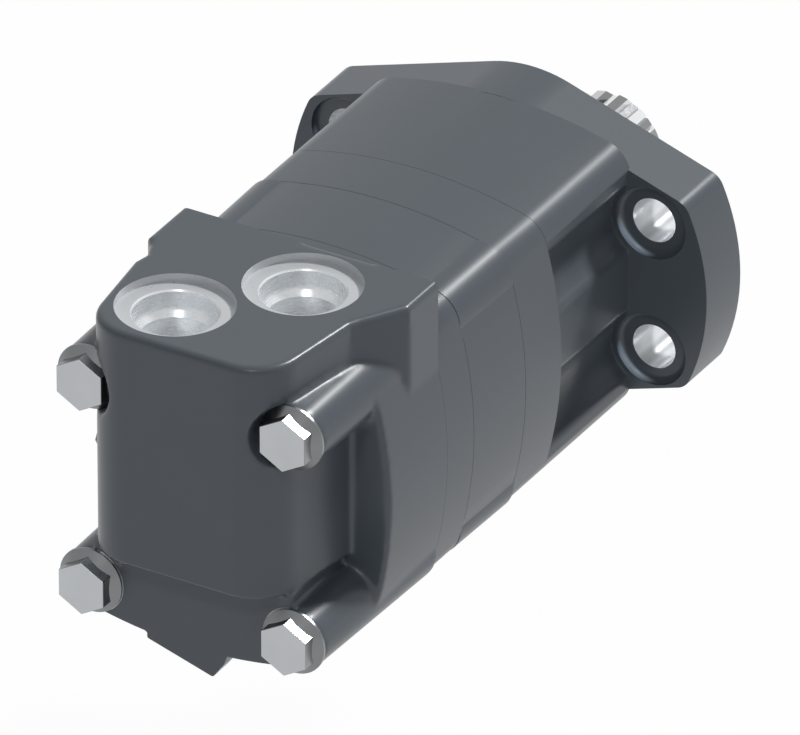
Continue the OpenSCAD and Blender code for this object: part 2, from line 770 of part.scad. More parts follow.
module shaft_seal() {
    lip = journal_r + running_gap;
    x0 = x_seal_washer;
    x1 = x_shaft_seal;
    color("black") turned([
        [shaft_seal_r, x0], [shaft_seal_r, x1], [lip + 1.2, x1], [lip + 0.2, x1 - 1],
        [lip + 2.4, x1 - 2.2], [shaft_seal_r - 2, x1 - 2.2], [shaft_seal_r - 2, x0 + 2.5],
        [lip + 3, x0 + 2.5], [lip, x0 + 4], [lip, x0 + 3.4], [lip + 1.6, x0]
    ]);
}

module seal_washer() {
    color("silver")
        ring(x_seal_washer - seal_washer_t, x_seal_washer - 0.02, journal_r + 0.8, shaft_seal_r);
}

module dust_seal() {
    lip = journal_r + running_gap;
    color("black") turned([
        [dust_seal_r, x_dust_seal - dust_seal_w], [dust_seal_r, x_dust_seal - 0.6],
        [dust_seal_r - 0.6, x_dust_seal], [lip + 1.6, x_dust_seal], [lip, x_dust_seal + 0.6],
        [lip, x_dust_seal - 0.2], [lip + 1, x_dust_seal - 1.6], [lip + 1, x_dust_seal - dust_seal_w]
    ]);
}

// Tapered bearings. Each is described by its middle plane, radii, width and the way it faces.
// Shares: a roller's radius of the section, and its length of the bearing's width
roller_r_share = 0.27;
roller_l_share = 0.62;
// Distance between neighbouring rollers, in roller radii
roller_pitch = 2.75;
function bearing_mid_r(r_in, r_out) = (r_in + r_out) / 2;
function bearing_roller_r(r_in, r_out) = (r_out - r_in) * roller_r_share;

// Radius of a raceway at distance x from the bearing's middle plane, side 1 out, -1 in
function raceway_r(r_in, r_out, side, x) =
    bearing_mid_r(r_in, r_out)
    + side * (bearing_roller_r(r_in, r_out) + running_gap) / cos(bearing_angle)
    + x * tan(bearing_angle + side * roller_taper);

// Turns a bearing so that its wide end faces +X (1) or -X (-1)
module bearing_place(x_mid, facing) {
    translate([x_mid, 0, 0]) rotate([0, facing > 0 ? 0 : 180, 0]) children();
}

module outer_race(r_in, r_out, w) {
    x0 = -w / 2;
    x1 = w / 2 - 2;
    turned([
        [r_out, x0 + 1], [r_out, x1], [raceway_r(r_in, r_out, 1, x1), x1],
        [raceway_r(r_in, r_out, 1, x0 + 1), x0 + 1]
    ]);
}

module inner_race(r_in, r_out, w) {
    x0 = -w / 2;
    x1 = w / 2;
    roller_l = w * roller_l_share;
    rib = roller_l / 2 * cos(bearing_angle) + 0.5;
    turned([
        [r_in + fit_gap, x0], [r_in + fit_gap, x1], [raceway_r(r_in, r_out, -1, rib) + 2.2, x1],
        [raceway_r(r_in, r_out, -1, rib) + 2.2, rib + 0.6],
        [raceway_r(r_in, r_out, -1, rib), rib + 0.2],
        [raceway_r(r_in, r_out, -1, -rib), -rib],
        [raceway_r(r_in, r_out, -1, -rib), x0]
    ]);
}

// A tapered roller, or its pocket when the gap is more than nothing
module tapered_roller(r_in, r_out, w, gap = 0) {
    roller_l = w * roller_l_share + 2 * gap;
    r = bearing_roller_r(r_in, r_out) + gap;
    taper = roller_l / 2 * tan(roller_taper);
    translate([0, bearing_mid_r(r_in, r_out), 0]) rotate([0, 0, bearing_angle])
        cone(-roller_l / 2, roller_l / 2, r - taper, r + taper);
}

function bearing_roller_count(r_in, r_out) =
    floor(PI * 2 * bearing_mid_r(r_in, r_out) / (bearing_roller_r(r_in, r_out) * roller_pitch));

module bearing_rollers(r_in, r_out, w) {
    count = bearing_roller_count(r_in, r_out);
    for (i = [0 : count - 1]) rotate([i * 360 / count, 0, 0]) tapered_roller(r_in, r_out, w);
}

module bearing_cage(r_in, r_out, w) {
    count = bearing_roller_count(r_in, r_out);
    mid = bearing_mid_r(r_in, r_out);
    half = w * roller_l_share / 2 * cos(bearing_angle) + 1.4;
    slope = tan(bearing_angle);
    thick = 0.7;
    difference() {
        turned([
            [mid - half * slope - thick, -half], [mid - half * slope + thick, -half],
            [mid + half * slope + thick, half], [mid + half * slope - thick, half]
        ]);
        for (i = [0 : count - 1]) rotate([i * 360 / count, 0, 0])
            tapered_roller(r_in, r_out, w, 0.3);
    }
}

front_mid_x = x_front_bearing - front_bearing_w / 2;
rear_mid_x = x_rear_bearing - rear_bearing_w / 2;

module front_outer_race() {
    color("silver") bearing_place(front_mid_x, -1) outer_race(journal_r, front_bearing_r, front_bearing_w);
}
module front_inner_race() {
    color("silver") bearing_place(front_mid_x, -1) inner_race(journal_r, front_bearing_r, front_bearing_w);
}
module front_cage() {
    color("tan") bearing_place(front_mid_x, -1) bearing_cage(journal_r, front_bearing_r, front_bearing_w);
}
module front_bearing_rollers() {
    color("gainsboro") bearing_place(front_mid_x, -1)
        bearing_rollers(journal_r, front_bearing_r, front_bearing_w);
}
module rear_outer_race() {
    color("silver") bearing_place(rear_mid_x, 1) outer_race(cup_r, rear_bearing_r, rear_bearing_w);
}
module rear_inner_race() {
    color("silver") bearing_place(rear_mid_x, 1) inner_race(cup_r, rear_bearing_r, rear_bearing_w);
}
module rear_cage() {
    color("tan") bearing_place(rear_mid_x, 1) bearing_cage(cup_r, rear_bearing_r, rear_bearing_w);
}
module rear_bearing_rollers() {
    color("gainsboro") bearing_place(rear_mid_x, 1)
        bearing_rollers(cup_r, rear_bearing_r, rear_bearing_w);
}

// A point on the star's outline. The roller centres trace a curve round the star, and the
// outline lies one roller radius and the running clearance inside it.
function star_point(t) =
    let (
        centre = roller_circle_r * [cos(t), sin(t)] - star_offset * [cos(rollers * t), sin(rollers * t)],
        along = roller_circle_r * [-sin(t), cos(t)]
            - rollers * star_offset * [-sin(rollers * t), cos(rollers * t)],
        outward = [along[1], -along[0]] / norm(along)
    )
    centre - (roller_r + geroler_gap) * outward;

module geroler_star() {
    side_gap = 0.15;
    color("gainsboro") translate([0, star_offset, 0])
        along_x(x_ring_joint + side_gap, x_wear_joint - side_gap) difference() {
            polygon([for (i = [0 : star_points - 1]) star_point(i * 360 / star_points)]);
            spline_outline(drive_teeth, drive_spline_r, drive_spline_depth, drive_spline_gap);
        }
}

// One roller of the geroler, counted from the +Y side
module geroler_roller(i) {
    side_gap = 0.15;
    x0 = x_ring_joint + side_gap;
    x1 = x_wear_joint - side_gap;
    color("silver") rotate([(i - 1) * 360 / rollers, 0, 0]) translate([0, roller_circle_r, 0])
        turned([
            [0, x0], [roller_r - edge_chamfer, x0], [roller_r, x0 + edge_chamfer],
            [roller_r, x1 - edge_chamfer], [roller_r - edge_chamfer, x1], [0, x1]
        ]);
}

// A splined head, crowned like a barrel so that it can tilt, centred on x
module crowned_head(x, teeth, tip_r, depth, l) {
    crown = 0.35;
    intersection() {
        along_x(x - l / 2, x + l / 2) spline_outline(teeth, tip_r, depth);
        turned([
            [0, x - l / 2], [tip_r - 3 * crown, x - l / 2], [tip_r, x - l / 5],
            [tip_r, x + l / 5], [tip_r - 3 * crown, x + l / 2], [0, x + l / 2]
        ]);
    }
}

module drive_link() {
    nose_r = 5;
    color("lightgray") translate([link_front_x, 0, 0]) rotate([0, 0, -link_tilt]) {
        crowned_head(0, drive_teeth, drive_spline_r, drive_spline_depth, link_head_l);
        crowned_head(-link_l, drive_teeth, drive_spline_r, drive_spline_depth, link_head_l);
        bar(-link_l + link_head_l / 2 - over, -link_head_l / 2 + over, link_waist_r);
        bar(-link_l - link_head_l / 2 - link_nose, -link_l - link_head_l / 2 + over, nose_r);
    }
}

module drive_spacer() {
    x0 = x_spacer - drive_spacer_t;
    color("silver") translate([0, star_offset, 0]) turned([
        [0, x0], [drive_spacer_r - 0.5, x0], [drive_spacer_r, x0 + 0.5],
        [drive_spacer_r, x_spacer - 0.5], [drive_spacer_r - 0.5, x_spacer], [0, x_spacer]
    ]);
}

module valve_drive() {
    nose_r = 4.5;
    head = valve_drive_head_l;
    color("lightgray") translate([valve_drive_rear_x, 0, 0]) rotate([0, 0, valve_drive_tilt]) {
        crowned_head(valve_drive_l, drive_teeth, drive_spline_r, drive_spline_depth, head);
        crowned_head(0, valve_teeth, valve_spline_r, valve_spline_depth, head);
        bar(head / 2 - over, valve_drive_l - head / 2 + over, valve_drive_waist_r);
        bar(valve_drive_l + head / 2 - over, valve_drive_l + head / 2 + link_nose, nose_r);
    }
}

module rotary_valve() {
    slots = star_lobes;
    slot_w = 6;
    slot_depth = 7;
    inner_slot = [valve_hub_r - 0.5, port_circle_r + 3];
    outer_slot_r = port_circle_r - 3.5;
    feed_r = 2.4;
    feed_circle_r = valve_hub_r + feed_r + 0.2;
    bore_r = valve_spline_r + drive_spline_gap + 1.5;
    x_hub = x_valve_back - valve_hub_l;
    color("silver") difference() {
        union() {
            bar(x_valve_back, x_valve_face, valve_r);
            bar(x_hub, x_valve_back + over, valve_hub_r);
        }
        bar(valve_drive_rear_x + valve_drive_head_l / 2 + 1, x_valve_face + over, bore_r);
        along_x(x_hub - over, x_valve_face + over)
            spline_outline(valve_teeth, valve_spline_r, valve_spline_depth, drive_spline_gap);
        // Slots that open outwards alternate with slots that are fed from the inner chamber
        for (i = [0 : slots - 1]) {
            rotate([i * 360 / slots, 0, 0])
                translate([x_valve_face - slot_depth, outer_slot_r, -slot_w / 2])
                    cube([slot_depth + over, valve_r, slot_w]);
            rotate([(i + 0.5) * 360 / slots, 0, 0]) {
                translate([x_valve_face - slot_depth, inner_slot[0], -slot_w / 2])
                    cube([slot_depth + over, inner_slot[1] - inner_slot[0], slot_w]);
                bar(x_valve_back - over, x_valve_face, feed_r, feed_circle_r);
            }
        }
    }
}

module balance_ring() {
    flange_inner_r = skirt_inner_r - 1.6;
    groove_gap = 0.1;
    x_groove = x_face_seal - groove_gap;
    x_groove_end = x_face_seal + face_seal_w + groove_gap;
    depth = face_seal_depth + groove_gap;
    color("darkgray") difference() {
        turned([
            [flange_inner_r, x_balance_front], [balance_r, x_balance_front],
            [balance_r, x_balance_step], [skirt_outer_r, x_balance_step],
            [skirt_outer_r, x_balance_rear], [skirt_inner_r, x_balance_rear],
            [skirt_inner_r, x_balance_step], [flange_inner_r, x_balance_step]
        ]);
        ring(x_groove, x_groove_end, skirt_outer_r - depth, skirt_outer_r + over);
        ring(x_groove, x_groove_end, skirt_inner_r - over, skirt_inner_r + depth);
        balance_pin_holes(x_balance_rear - over, x_balance_rear + pin_depth);
    }
}

module inner_face_seal() {
    color("black") ring(x_face_seal, x_face_seal + face_seal_w,
        skirt_inner_r - skirt_gap + 0.05, skirt_inner_r + face_seal_depth);
}

module outer_face_seal() {
    color("black") ring(x_face_seal, x_face_seal + face_seal_w,
        skirt_outer_r - face_seal_depth, skirt_outer_r + skirt_gap - 0.05);
}

module balance_pins() {
    color("silver")
        balance_pin_holes(x_balance_rear - pin_depth, x_balance_rear + pin_depth - 0.3, 0);
}

// Points round the spring's wire at turn angle t
function spring_ring(t, rise, coil_r) = [
    for (s = [0 : 7]) let (a = s * 45, r = coil_r + balance_wire_r * cos(a))
        [rise * t / 360 + balance_wire_r * sin(a), r * cos(t), r * sin(t)]
];

// A coil spring from x0 to x1 along X
module coil_spring(x0, x1) {
    turns = 4;
    steps = 10;
    n = turns * steps;
    coil_r = balance_spring_r - balance_wire_r;
    rise = (x1 - x0 - 2 * balance_wire_r) / turns;
    points = [for (i = [0 : n]) each spring_ring(i * 360 / steps, rise, coil_r)];
    sides = [for (i = [0 : n - 1], s = [0 : 7]) let (a = i * 8 + s, b = i * 8 + (s + 1) % 8)
        each [[a, b, b + 8], [a, b + 8, a + 8]]];
    caps = [[for (s = [7 : -1 : 0]) s], [for (s = [0 : 7]) n * 8 + s]];
    translate([x0 + balance_wire_r, 0, 0]) polyhedron(points, concat(sides, caps), convexity = 6);
}

module balance_springs() {
    end_gap = 0.1;
    color("silver") for (a = [90, 210, 330]) rotate([a, 0, 0]) translate([0, skirt_mid_r, 0])
        coil_spring(x_skirt_groove - spring_pocket + end_gap, x_balance_rear - end_gap);
}

valve_housing();
valve_plate();
geroler_ring();
wear_plate();
bearing_housing();
housing_screws();
body_seals();
drain_plug();
drain_plug_seal();
output_shaft();
shaft_seal();
seal_washer();
dust_seal();
front_outer_race();
front_inner_race();
front_cage();
front_bearing_rollers();
rear_outer_race();
rear_inner_race();
rear_cage();
rear_bearing_rollers();
geroler_star();
geroler_roller(1);  // geroler_roller_1
geroler_roller(2);  // geroler_roller_2
geroler_roller(3);  // geroler_roller_3
geroler_roller(4);  // geroler_roller_4
geroler_roller(5);  // geroler_roller_5
geroler_roller(6);  // geroler_roller_6
geroler_roller(7);  // geroler_roller_7
drive_link();
drive_spacer();
valve_drive();
rotary_valve();
balance_ring();
balance_pins();
balance_springs();
inner_face_seal();
outer_face_seal();
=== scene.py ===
"""Orbital hydraulic motor: the finish of its castings, plates, screws, shaft and inner works."""

import json
import math

import bmesh
import bpy
from mathutils import Matrix, Quaternion, Vector
from mathutils.kdtree import KDTree


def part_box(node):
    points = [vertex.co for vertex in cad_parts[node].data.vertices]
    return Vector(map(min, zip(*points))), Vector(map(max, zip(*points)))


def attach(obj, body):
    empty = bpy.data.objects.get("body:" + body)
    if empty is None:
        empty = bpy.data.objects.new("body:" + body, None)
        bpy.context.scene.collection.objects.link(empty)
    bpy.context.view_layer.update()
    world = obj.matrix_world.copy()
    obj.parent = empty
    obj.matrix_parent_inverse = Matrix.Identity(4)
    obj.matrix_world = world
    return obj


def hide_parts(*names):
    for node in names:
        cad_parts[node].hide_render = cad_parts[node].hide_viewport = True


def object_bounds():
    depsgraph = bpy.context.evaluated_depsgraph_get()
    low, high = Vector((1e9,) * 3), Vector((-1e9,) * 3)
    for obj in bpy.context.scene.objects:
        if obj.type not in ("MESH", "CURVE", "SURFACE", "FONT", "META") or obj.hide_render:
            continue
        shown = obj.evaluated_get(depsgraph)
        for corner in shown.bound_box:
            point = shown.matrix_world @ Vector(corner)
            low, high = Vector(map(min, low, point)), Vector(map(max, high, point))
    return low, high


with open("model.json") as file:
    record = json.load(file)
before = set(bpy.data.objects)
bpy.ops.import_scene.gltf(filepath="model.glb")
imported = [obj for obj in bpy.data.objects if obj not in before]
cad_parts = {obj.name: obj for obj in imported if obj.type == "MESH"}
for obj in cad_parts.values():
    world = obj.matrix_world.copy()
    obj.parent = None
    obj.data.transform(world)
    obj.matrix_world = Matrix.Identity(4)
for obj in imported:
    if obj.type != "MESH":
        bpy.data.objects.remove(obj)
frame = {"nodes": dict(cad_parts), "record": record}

bl_info = {
    "name": "Orbital hydraulic motor",
    "version": (1, 0, 0),
    "blender": (4, 5, 0),
    "location": "View3D > Sidebar > Motor",
    "description": "Dresses the motor's castings, plates, screws and shaft and lights them",
    "category": "Object",
}

MM = 0.001
CAD_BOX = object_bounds()
MOUNTS = {m["name"]: m for m in frame["record"]["mounts"]}
FLANGE_BOLTS = MOUNTS["flange_bolts"]["dims"]
REAR_PORT = Vector(MOUNTS["rear_port"]["pos_m"])
FRONT_PORT = Vector(MOUNTS["front_port"]["pos_m"])
HOUSING, SHAFT = "housing", "output_shaft"

# The chambers of the valve housing, which are filled before its edges are blended
CHAMBER_SKIN = 1.5 * MM
INNER_CHAMBER_LEAD = 13 * MM
INNER_CHAMBER_INSET = 4.7 * MM

# Planes across the motor, read from the frame's own pieces
X_TOWER_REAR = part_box("valve_housing")[0].x
X_VALVE_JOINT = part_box("valve_plate")[0].x
X_RING_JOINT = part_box("geroler_ring")[0].x
X_FRONT_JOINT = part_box("bearing_housing")[0].x
X_CHAMBER_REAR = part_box("outer_face_seal")[0].x + 2.0 * MM
BODY_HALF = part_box("wear_plate")[1].z
DECK_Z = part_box("valve_housing")[1].z
X_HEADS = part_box("housing_screws")[0].x
X_SCREW_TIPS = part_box("housing_screws")[1].x


def length(name, default, text):
    """A length property in metres, for a size that a user would change."""
    return bpy.props.FloatProperty(
        name=name, description=text, default=default, min=0.0, subtype="DISTANCE", unit="LENGTH"
    )


def number(name, default, text):
    """A plain number property."""
    return bpy.props.FloatProperty(name=name, description=text, default=default)


def heading(name, default, text):
    """A property that holds a direction."""
    return bpy.props.FloatVectorProperty(name=name, description=text, default=default, subtype="XYZ")


def colour(name, default, text):
    """A colour property."""
    return bpy.props.FloatVectorProperty(
        name=name, description=text, default=default, size=3, min=0.0, max=1.0, subtype="COLOR"
    )


class MotorSizes(bpy.types.PropertyGroup):
    """Sizes of the castings' skins and of the cuts that machining leaves in them."""

    voxel: length("Casting grid", 0.7 * MM, "Grid that the castings are blended on")
    ring_step: length("Ring corner taper", 0.45 * MM, "Draws in the geroler ring's corners at its rear face")
    joint_bevel: length("Joint bevel", 0.12 * MM, "Bevel along the joints between the slices")
    head_af: length("Head width", 14.29 * MM, "Width of the screw heads across their flats")
    head_h: length("Head height", 6.1 * MM, "Height of the screw heads")
    shank_r: length("Shank radius", 4.76 * MM, "Radius of the housing screws")
    seat_r: length("Screw seat radius", 10.1 * MM, "Radius of the machined seats under the heads")
    head_flange_r: length("Head flange radius", 9.9 * MM, "Radius of the flanges under the screw heads")
    port_seat_r: length("Port seat radius", 17.0 * MM, "Radius of the ports' sealing seats")
    port_seat_depth: length("Port seat depth", 2.5 * MM, "Depth of the ports' sealing seats")
    port_mouth_r: length("Port mouth radius", 12.1 * MM, "Radius of the ports' mouths")
    port_mouth_depth: length("Port mouth depth", 6.0 * MM, "Depth of the ports' mouths")
    port_depth: length("Port depth", 21.0 * MM, "Depth of the ports below the deck")
    flange_t: length("Flange thickness", 19.0 * MM, "Thickness of the mounting flange")
    flange_seat_r: length("Flange seat radius", 11.2 * MM, "Radius of the seats behind the flange")
    flange_seat_depth: length("Flange seat depth", 2.0 * MM, "Depth of the seats behind the flange")
    flange_bevel: length("Flange bevel", 0.3 * MM, "Bevel along the flange's edges")
    pocket_r: length("Pocket radius", 12.9 * MM, "Radius of the bolt pockets behind the flange")
    side_half: length("Side half-width", 41.98 * MM, "Half-width between the bearing housing's flat sides")
    chamber_r: length("Chamber radius", 35.0 * MM, "Radius of the valve chamber")
    screw_hole_r: length("Screw hole radius", 5.2 * MM, "Radius of the housing screws' clearance holes")
    blend_rounds: bpy.props.IntProperty(
        name="Blend rounds", description="How far the casting's edges are rounded", default=9, min=1, max=60
    )
    deck_round: length("Deck round", 2.0 * MM, "Radius of the deck's outer edge")
    tower_round: length("Tower round", 0.6 * MM, "Radius of the tower's lower edge")
    crisp_round: length("Crisp round", 0.2 * MM, "Radius of the casting's crisp lower edges")
    wing_half: length("Wing half-width", 44.0 * MM, "Half-width of the deck at its right wing")
    wing_drop: length("Wing height", 34.0 * MM, "Height of the right wing's side")


class MotorFinish(bpy.types.PropertyGroup):
    """Colours of the motor's finishes."""

    paint: colour("Paint", (0.088, 0.104, 0.120), "Satin grey paint on the castings")
    machined: colour("Machined", (0.62, 0.635, 0.65), "Machined faces in the castings")
    bore: colour("Bores", (0.84, 0.86, 0.88), "Bright bored and drilled holes")
    port: colour("Ports", (0.84, 0.86, 0.875), "Bright port walls")
    # Painted light: the ports' walls glow a little, standing in for the light that they pass on to each
    # other.
    port_painted_glow: number("Port painted glow", 0.03, "Light that the ports' walls pass on to each other")
    screw: colour("Screws", (0.47, 0.485, 0.5), "Satin plated screw heads")
    steel: colour("Steel", (0.7, 0.71, 0.72), "Ground steel of the shaft")
    brass: colour("Brass", (0.72, 0.53, 0.26), "Bearing cages")
    rubber: colour("Rubber", (0.018, 0.018, 0.02), "Seals")


class MotorStudio(bpy.types.PropertyGroup):
    """The camera's place and the studio round the motor."""

    azimuth: number("Azimuth", -59.36, "Camera's direction round the motor, in degrees")
    elevation: number("Elevation", 30.85, "Camera's height above the horizon, in degrees")
    roll: number("Roll", -0.26, "Camera's turn about its own axis, in degrees")
    view_width: length("View width", 222.4 * MM, "Width of the view at the motor")
    lens: number("Lens", 1400.0, "Focal length in mm, long enough for a nearly parallel view")
    floor_drop: length("Floor drop", 90.0 * MM, "Distance of the floor under the motor")
    key_strength: number("Key", 2.5, "Strength of the key light")
    key_angle: bpy.props.FloatProperty(
        name="Key size", description="Angle that the key light fills",
        default=math.radians(8.0), unit="ROTATION",
    )
    key_from: heading("Key direction", (0.60, -0.25, 0.76), "Direction from the motor to the key light")
    fill_strength: number("Fill", 0.45, "Strength of the rear fill light")
    fill_from: heading("Fill direction", (-0.6, -0.2, 0.77), "Direction from the motor to the fill light")
    world_level: number("Sky level", 0.1, "Strength of the studio's even light")


# Mesh making


def linked(name, mesh):
    """A new object at the origin holding mesh."""
    obj = bpy.data.objects.new(name, mesh)
    bpy.context.collection.objects.link(obj)
    return obj


def object_from(bm, name):
    """Turns a bmesh into an object and frees it."""
    mesh = bpy.data.meshes.new(name)
    bm.to_mesh(mesh)
    bm.free()
    return linked(name, mesh)


def node_bmesh(node):
    """A merged copy of a CAD node's mesh."""
    bm = bmesh.new()
    bm.from_mesh(frame["nodes"][node].data)
    bmesh.ops.remove_doubles(bm, verts=bm.verts, dist=1e-6)
    return bm


def add_bar(bm, start, end, radius, segments=96, radius_end=None):
    """Adds a closed round bar, or a cone, from start to end."""
    start, end = Vector(start), Vector(end)
    along = end - start
    place = Matrix.Translation((start + end) / 2) @ along.to_track_quat("Z", "Y").to_matrix().to_4x4()
    bmesh.ops.create_cone(
        bm, cap_ends=True, segments=segments, radius1=radius,
        radius2=radius if radius_end is None else radius_end, depth=along.length, matrix=place,
    )


def add_box(bm, low, high):
    """Adds a closed box between two corners."""
    low, high = Vector(low), Vector(high)
    place = Matrix.Translation((low + high) / 2) @ Matrix.Diagonal((*(high - low), 1.0))
    bmesh.ops.create_cube(bm, size=1.0, matrix=place)


def add_lathe(bm, points, place, segments=128):
    """Adds a closed turned solid. The points are (radius, height) pairs, bottom to top."""
    rings = []
    for radius, height in points:
        if radius <= 0.0:
            rings.append([bm.verts.new(place @ Vector((0.0, 0.0, height)))])
            continue
        rings.append([
            bm.verts.new(place @ Vector((radius * math.cos(a), radius * math.sin(a), height)))
            for a in (2 * math.pi * i / segments for i in range(segments))
        ])
    for lower, upper in zip(rings, rings[1:]):
        for i in range(segments):
            j = (i + 1) % segments
            sides = ((lower, i), (lower, j), (upper, j), (upper, i))
            corners = [ring[k % len(ring)] for ring, k in sides]
            unique = list(dict.fromkeys(corners))
            if len(unique) > 2:
                bm.faces.new(unique)
    for ring, flip in ((rings[0], True), (rings[-1], False)):
        if len(ring) > 2:
            bm.faces.new(reversed(ring) if flip else ring)


def bake_modifiers(obj):
    """Applies every modifier on obj."""
    depsgraph = bpy.context.evaluated_depsgraph_get()
    mesh = bpy.data.meshes.new_from_object(obj.evaluated_get(depsgraph))
    obj.modifiers.clear()
    old = obj.data
    obj.data = mesh
    bpy.data.meshes.remove(old)
    return obj


def remove_object(obj):
    """Deletes a helper object and its mesh."""
    mesh = obj.data
    bpy.data.objects.remove(obj)
    bpy.data.meshes.remove(mesh)


def blend_casting(obj, voxel, rounds):
    """Joins overlapping shells into one skin and rounds its edges and corners."""
    grid = obj.modifiers.new("grid", "REMESH")
    grid.mode = "VOXEL"
    grid.voxel_size = voxel
    soft = obj.modifiers.new("soften", "SMOOTH")
    soft.factor = 0.5
    soft.iterations = rounds
    return bake_modifiers(obj)


def carve(obj, tool, operation="DIFFERENCE"):
    """Cuts tool out of obj, or keeps what they share. The cut faces take the tool's material."""
    cut = obj.modifiers.new("cut", "BOOLEAN")
    cut.object = tool
    cut.operation = operation
    cut.solver = "EXACT"
    cut.material_mode = "TRANSFER"
    bake_modifiers(obj)
    remove_object(tool)
    return obj


def slice_off(obj, point, normal):
    """Cuts obj flat, removes what lies on the normal's side and closes the cut."""
    bm = bmesh.new()
    bm.from_mesh(obj.data)
    cut = bmesh.ops.bisect_plane(
        bm, geom=bm.verts[:] + bm.edges[:] + bm.faces[:], plane_co=point, plane_no=normal,
        clear_outer=True, dist=1e-7,
    )
    edges = [e for e in cut["geom_cut"] if isinstance(e, bmesh.types.BMEdge)]
    bmesh.ops.holes_fill(bm, edges=edges, sides=0)
    bmesh.ops.recalc_face_normals(bm, faces=bm.faces)
    bm.to_mesh(obj.data)
    bm.free()


def shade(obj, degrees=35.0, fine_degrees=9.0, big_face=1.5e-6):
    """Smooth shading. Edges are crisp above an angle, which is smaller between big faces."""
    bm = bmesh.new()
    bm.from_mesh(obj.data)
    for edge in bm.edges:
        if len(edge.link_faces) != 2:
            continue
        big = min(face.calc_area() for face in edge.link_faces) > big_face
        edge.smooth = edge.calc_face_angle(0.0) < math.radians(fine_degrees if big else degrees)
    for face in bm.faces:
        face.smooth = True
    bm.to_mesh(obj.data)
    bm.free()
    weigh = obj.modifiers.new("weigh", "WEIGHTED_NORMAL")
    weigh.keep_sharp = True
    return bake_modifiers(obj)


def dressed(obj, name, body, nodes):
    """Names a finished piece and hands it to the frame."""
    obj.name = name
    obj.data.name = name
    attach(obj, body)
    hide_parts(*nodes)


# Materials


def new_group(name, inputs, outputs):
    """A shader node group with its sockets, and its input and output nodes."""
    group = bpy.data.node_groups.new(name, "ShaderNodeTree")
    for label, kind, default in inputs:
        socket = group.interface.new_socket(name=label, in_out="INPUT", socket_type=kind)
        if default is not None:
            socket.default_value = default
    for label, kind in outputs:
        group.interface.new_socket(name=label, in_out="OUTPUT", socket_type=kind)
    return group, group.nodes.new("NodeGroupInput"), group.nodes.new("NodeGroupOutput")


def wire(tree, source, target):
    """Links two sockets."""
    tree.links.new(source, target)


def feed(tree, value, target):
    """Sets a socket to a number, or links it to another socket."""
    if isinstance(value, (int, float)):
        target.default_value = value
    else:
        wire(tree, value, target)


def maths(tree, operation, first, second=0.0):
    """A Math node; each side is a socket or a number."""
    node = tree.nodes.new("ShaderNodeMath")
    node.operation = operation
    feed(tree, first, node.inputs[0])
    feed(tree, second, node.inputs[1])
    return node.outputs[0]


def scaled(tree, vector, scale):
    """A vector or colour times a level."""
    node = tree.nodes.new("ShaderNodeVectorMath")
    node.operation = "SCALE"
    wire(tree, vector, node.inputs[0])
    wire(tree, scale, node.inputs["Scale"])
    return node.outputs[0]


def varied(tree, base, field, amount):
    """A base that a noise field raises and lowers by up to half an amount."""
    return maths(tree, "ADD", base, maths(tree, "MULTIPLY", maths(tree, "SUBTRACT", field, 0.5), amount))


def smooth_steps(tree, value, ends):
    """A value taken smoothly from one range to another. The ends are the range's sockets, by name."""
    node = tree.nodes.new("ShaderNodeMapRange")
    node.interpolation_type = "SMOOTHSTEP"
    wire(tree, value, node.inputs["Value"])
    for label, end in ends.items():
        feed(tree, end, node.inputs[label])
    return node.outputs["Result"]


def noise(tree, vector, scale, detail=2.0, roughness=0.5):
    """A Noise texture's value over a vector."""
    node = tree.nodes.new("ShaderNodeTexNoise")
    node.inputs["Scale"].default_value = scale
    node.inputs["Detail"].default_value = detail
    node.inputs["Roughness"].default_value = roughness
    wire(tree, vector, node.inputs["Vector"])
    return node.outputs["Fac"]


def cast_grain_group():
    """Fine bumps of a painted casting, with slow changes of tone and gloss."""
    group, given, out = new_group(
        "Cast grain",
        [("Scale", "NodeSocketFloat", 1.0), ("Colour", "NodeSocketColor", (0.1, 0.1, 0.1, 1.0)),
         ("Tone change", "NodeSocketFloat", 0.1), ("Gloss", "NodeSocketFloat", 0.4)],
        [("Colour", "NodeSocketColor"), ("Height", "NodeSocketFloat"), ("Roughness", "NodeSocketFloat")],
    )
    place = group.nodes.new("ShaderNodeTexCoord")
    vector = scaled(group, place.outputs["Object"], given.outputs["Scale"])
    fine = noise(group, vector, 1600.0, 3.0, 0.6)
    broad = noise(group, vector, 45.0)
    height = maths(group, "ADD", maths(group, "MULTIPLY", fine, 0.7), maths(group, "MULTIPLY", broad, 0.5))
    level = varied(group, 1.0, broad, given.outputs["Tone change"])
    wire(group, height, out.inputs["Height"])
    wire(group, scaled(group, given.outputs["Colour"], level), out.inputs["Colour"])
    wire(group, varied(group, given.outputs["Gloss"], fine, 0.12), out.inputs["Roughness"])
    return group


def tool_marks_group():
    """Fine turning or milling marks round an axis, for machined metal."""
    group, given, out = new_group(
        "Tool marks",
        [("Scale", "NodeSocketFloat", 1.0), ("Gloss", "NodeSocketFloat", 0.25),
         ("Colour", "NodeSocketColor", (0.5, 0.5, 0.5, 1.0))],
        [("Colour", "NodeSocketColor"), ("Height", "NodeSocketFloat"), ("Roughness", "NodeSocketFloat")],
    )
    place = group.nodes.new("ShaderNodeTexCoord")
    stretched = group.nodes.new("ShaderNodeMapping")
    stretched.inputs["Scale"].default_value = (1.0, 1.0, 12.0)
    wire(group, place.outputs["Object"], stretched.inputs["Vector"])
    marks = noise(group, scaled(group, stretched.outputs[0], given.outputs["Scale"]), 350.0, 3.0, 0.6)
    cloud = noise(group, place.outputs["Object"], 90.0)
    level = varied(group, 1.0, cloud, 0.12)
    wire(group, marks, out.inputs["Height"])
    wire(group, scaled(group, given.outputs["Colour"], level), out.inputs["Colour"])
    wire(group, varied(group, given.outputs["Gloss"], marks, 0.15), out.inputs["Roughness"])
    return group


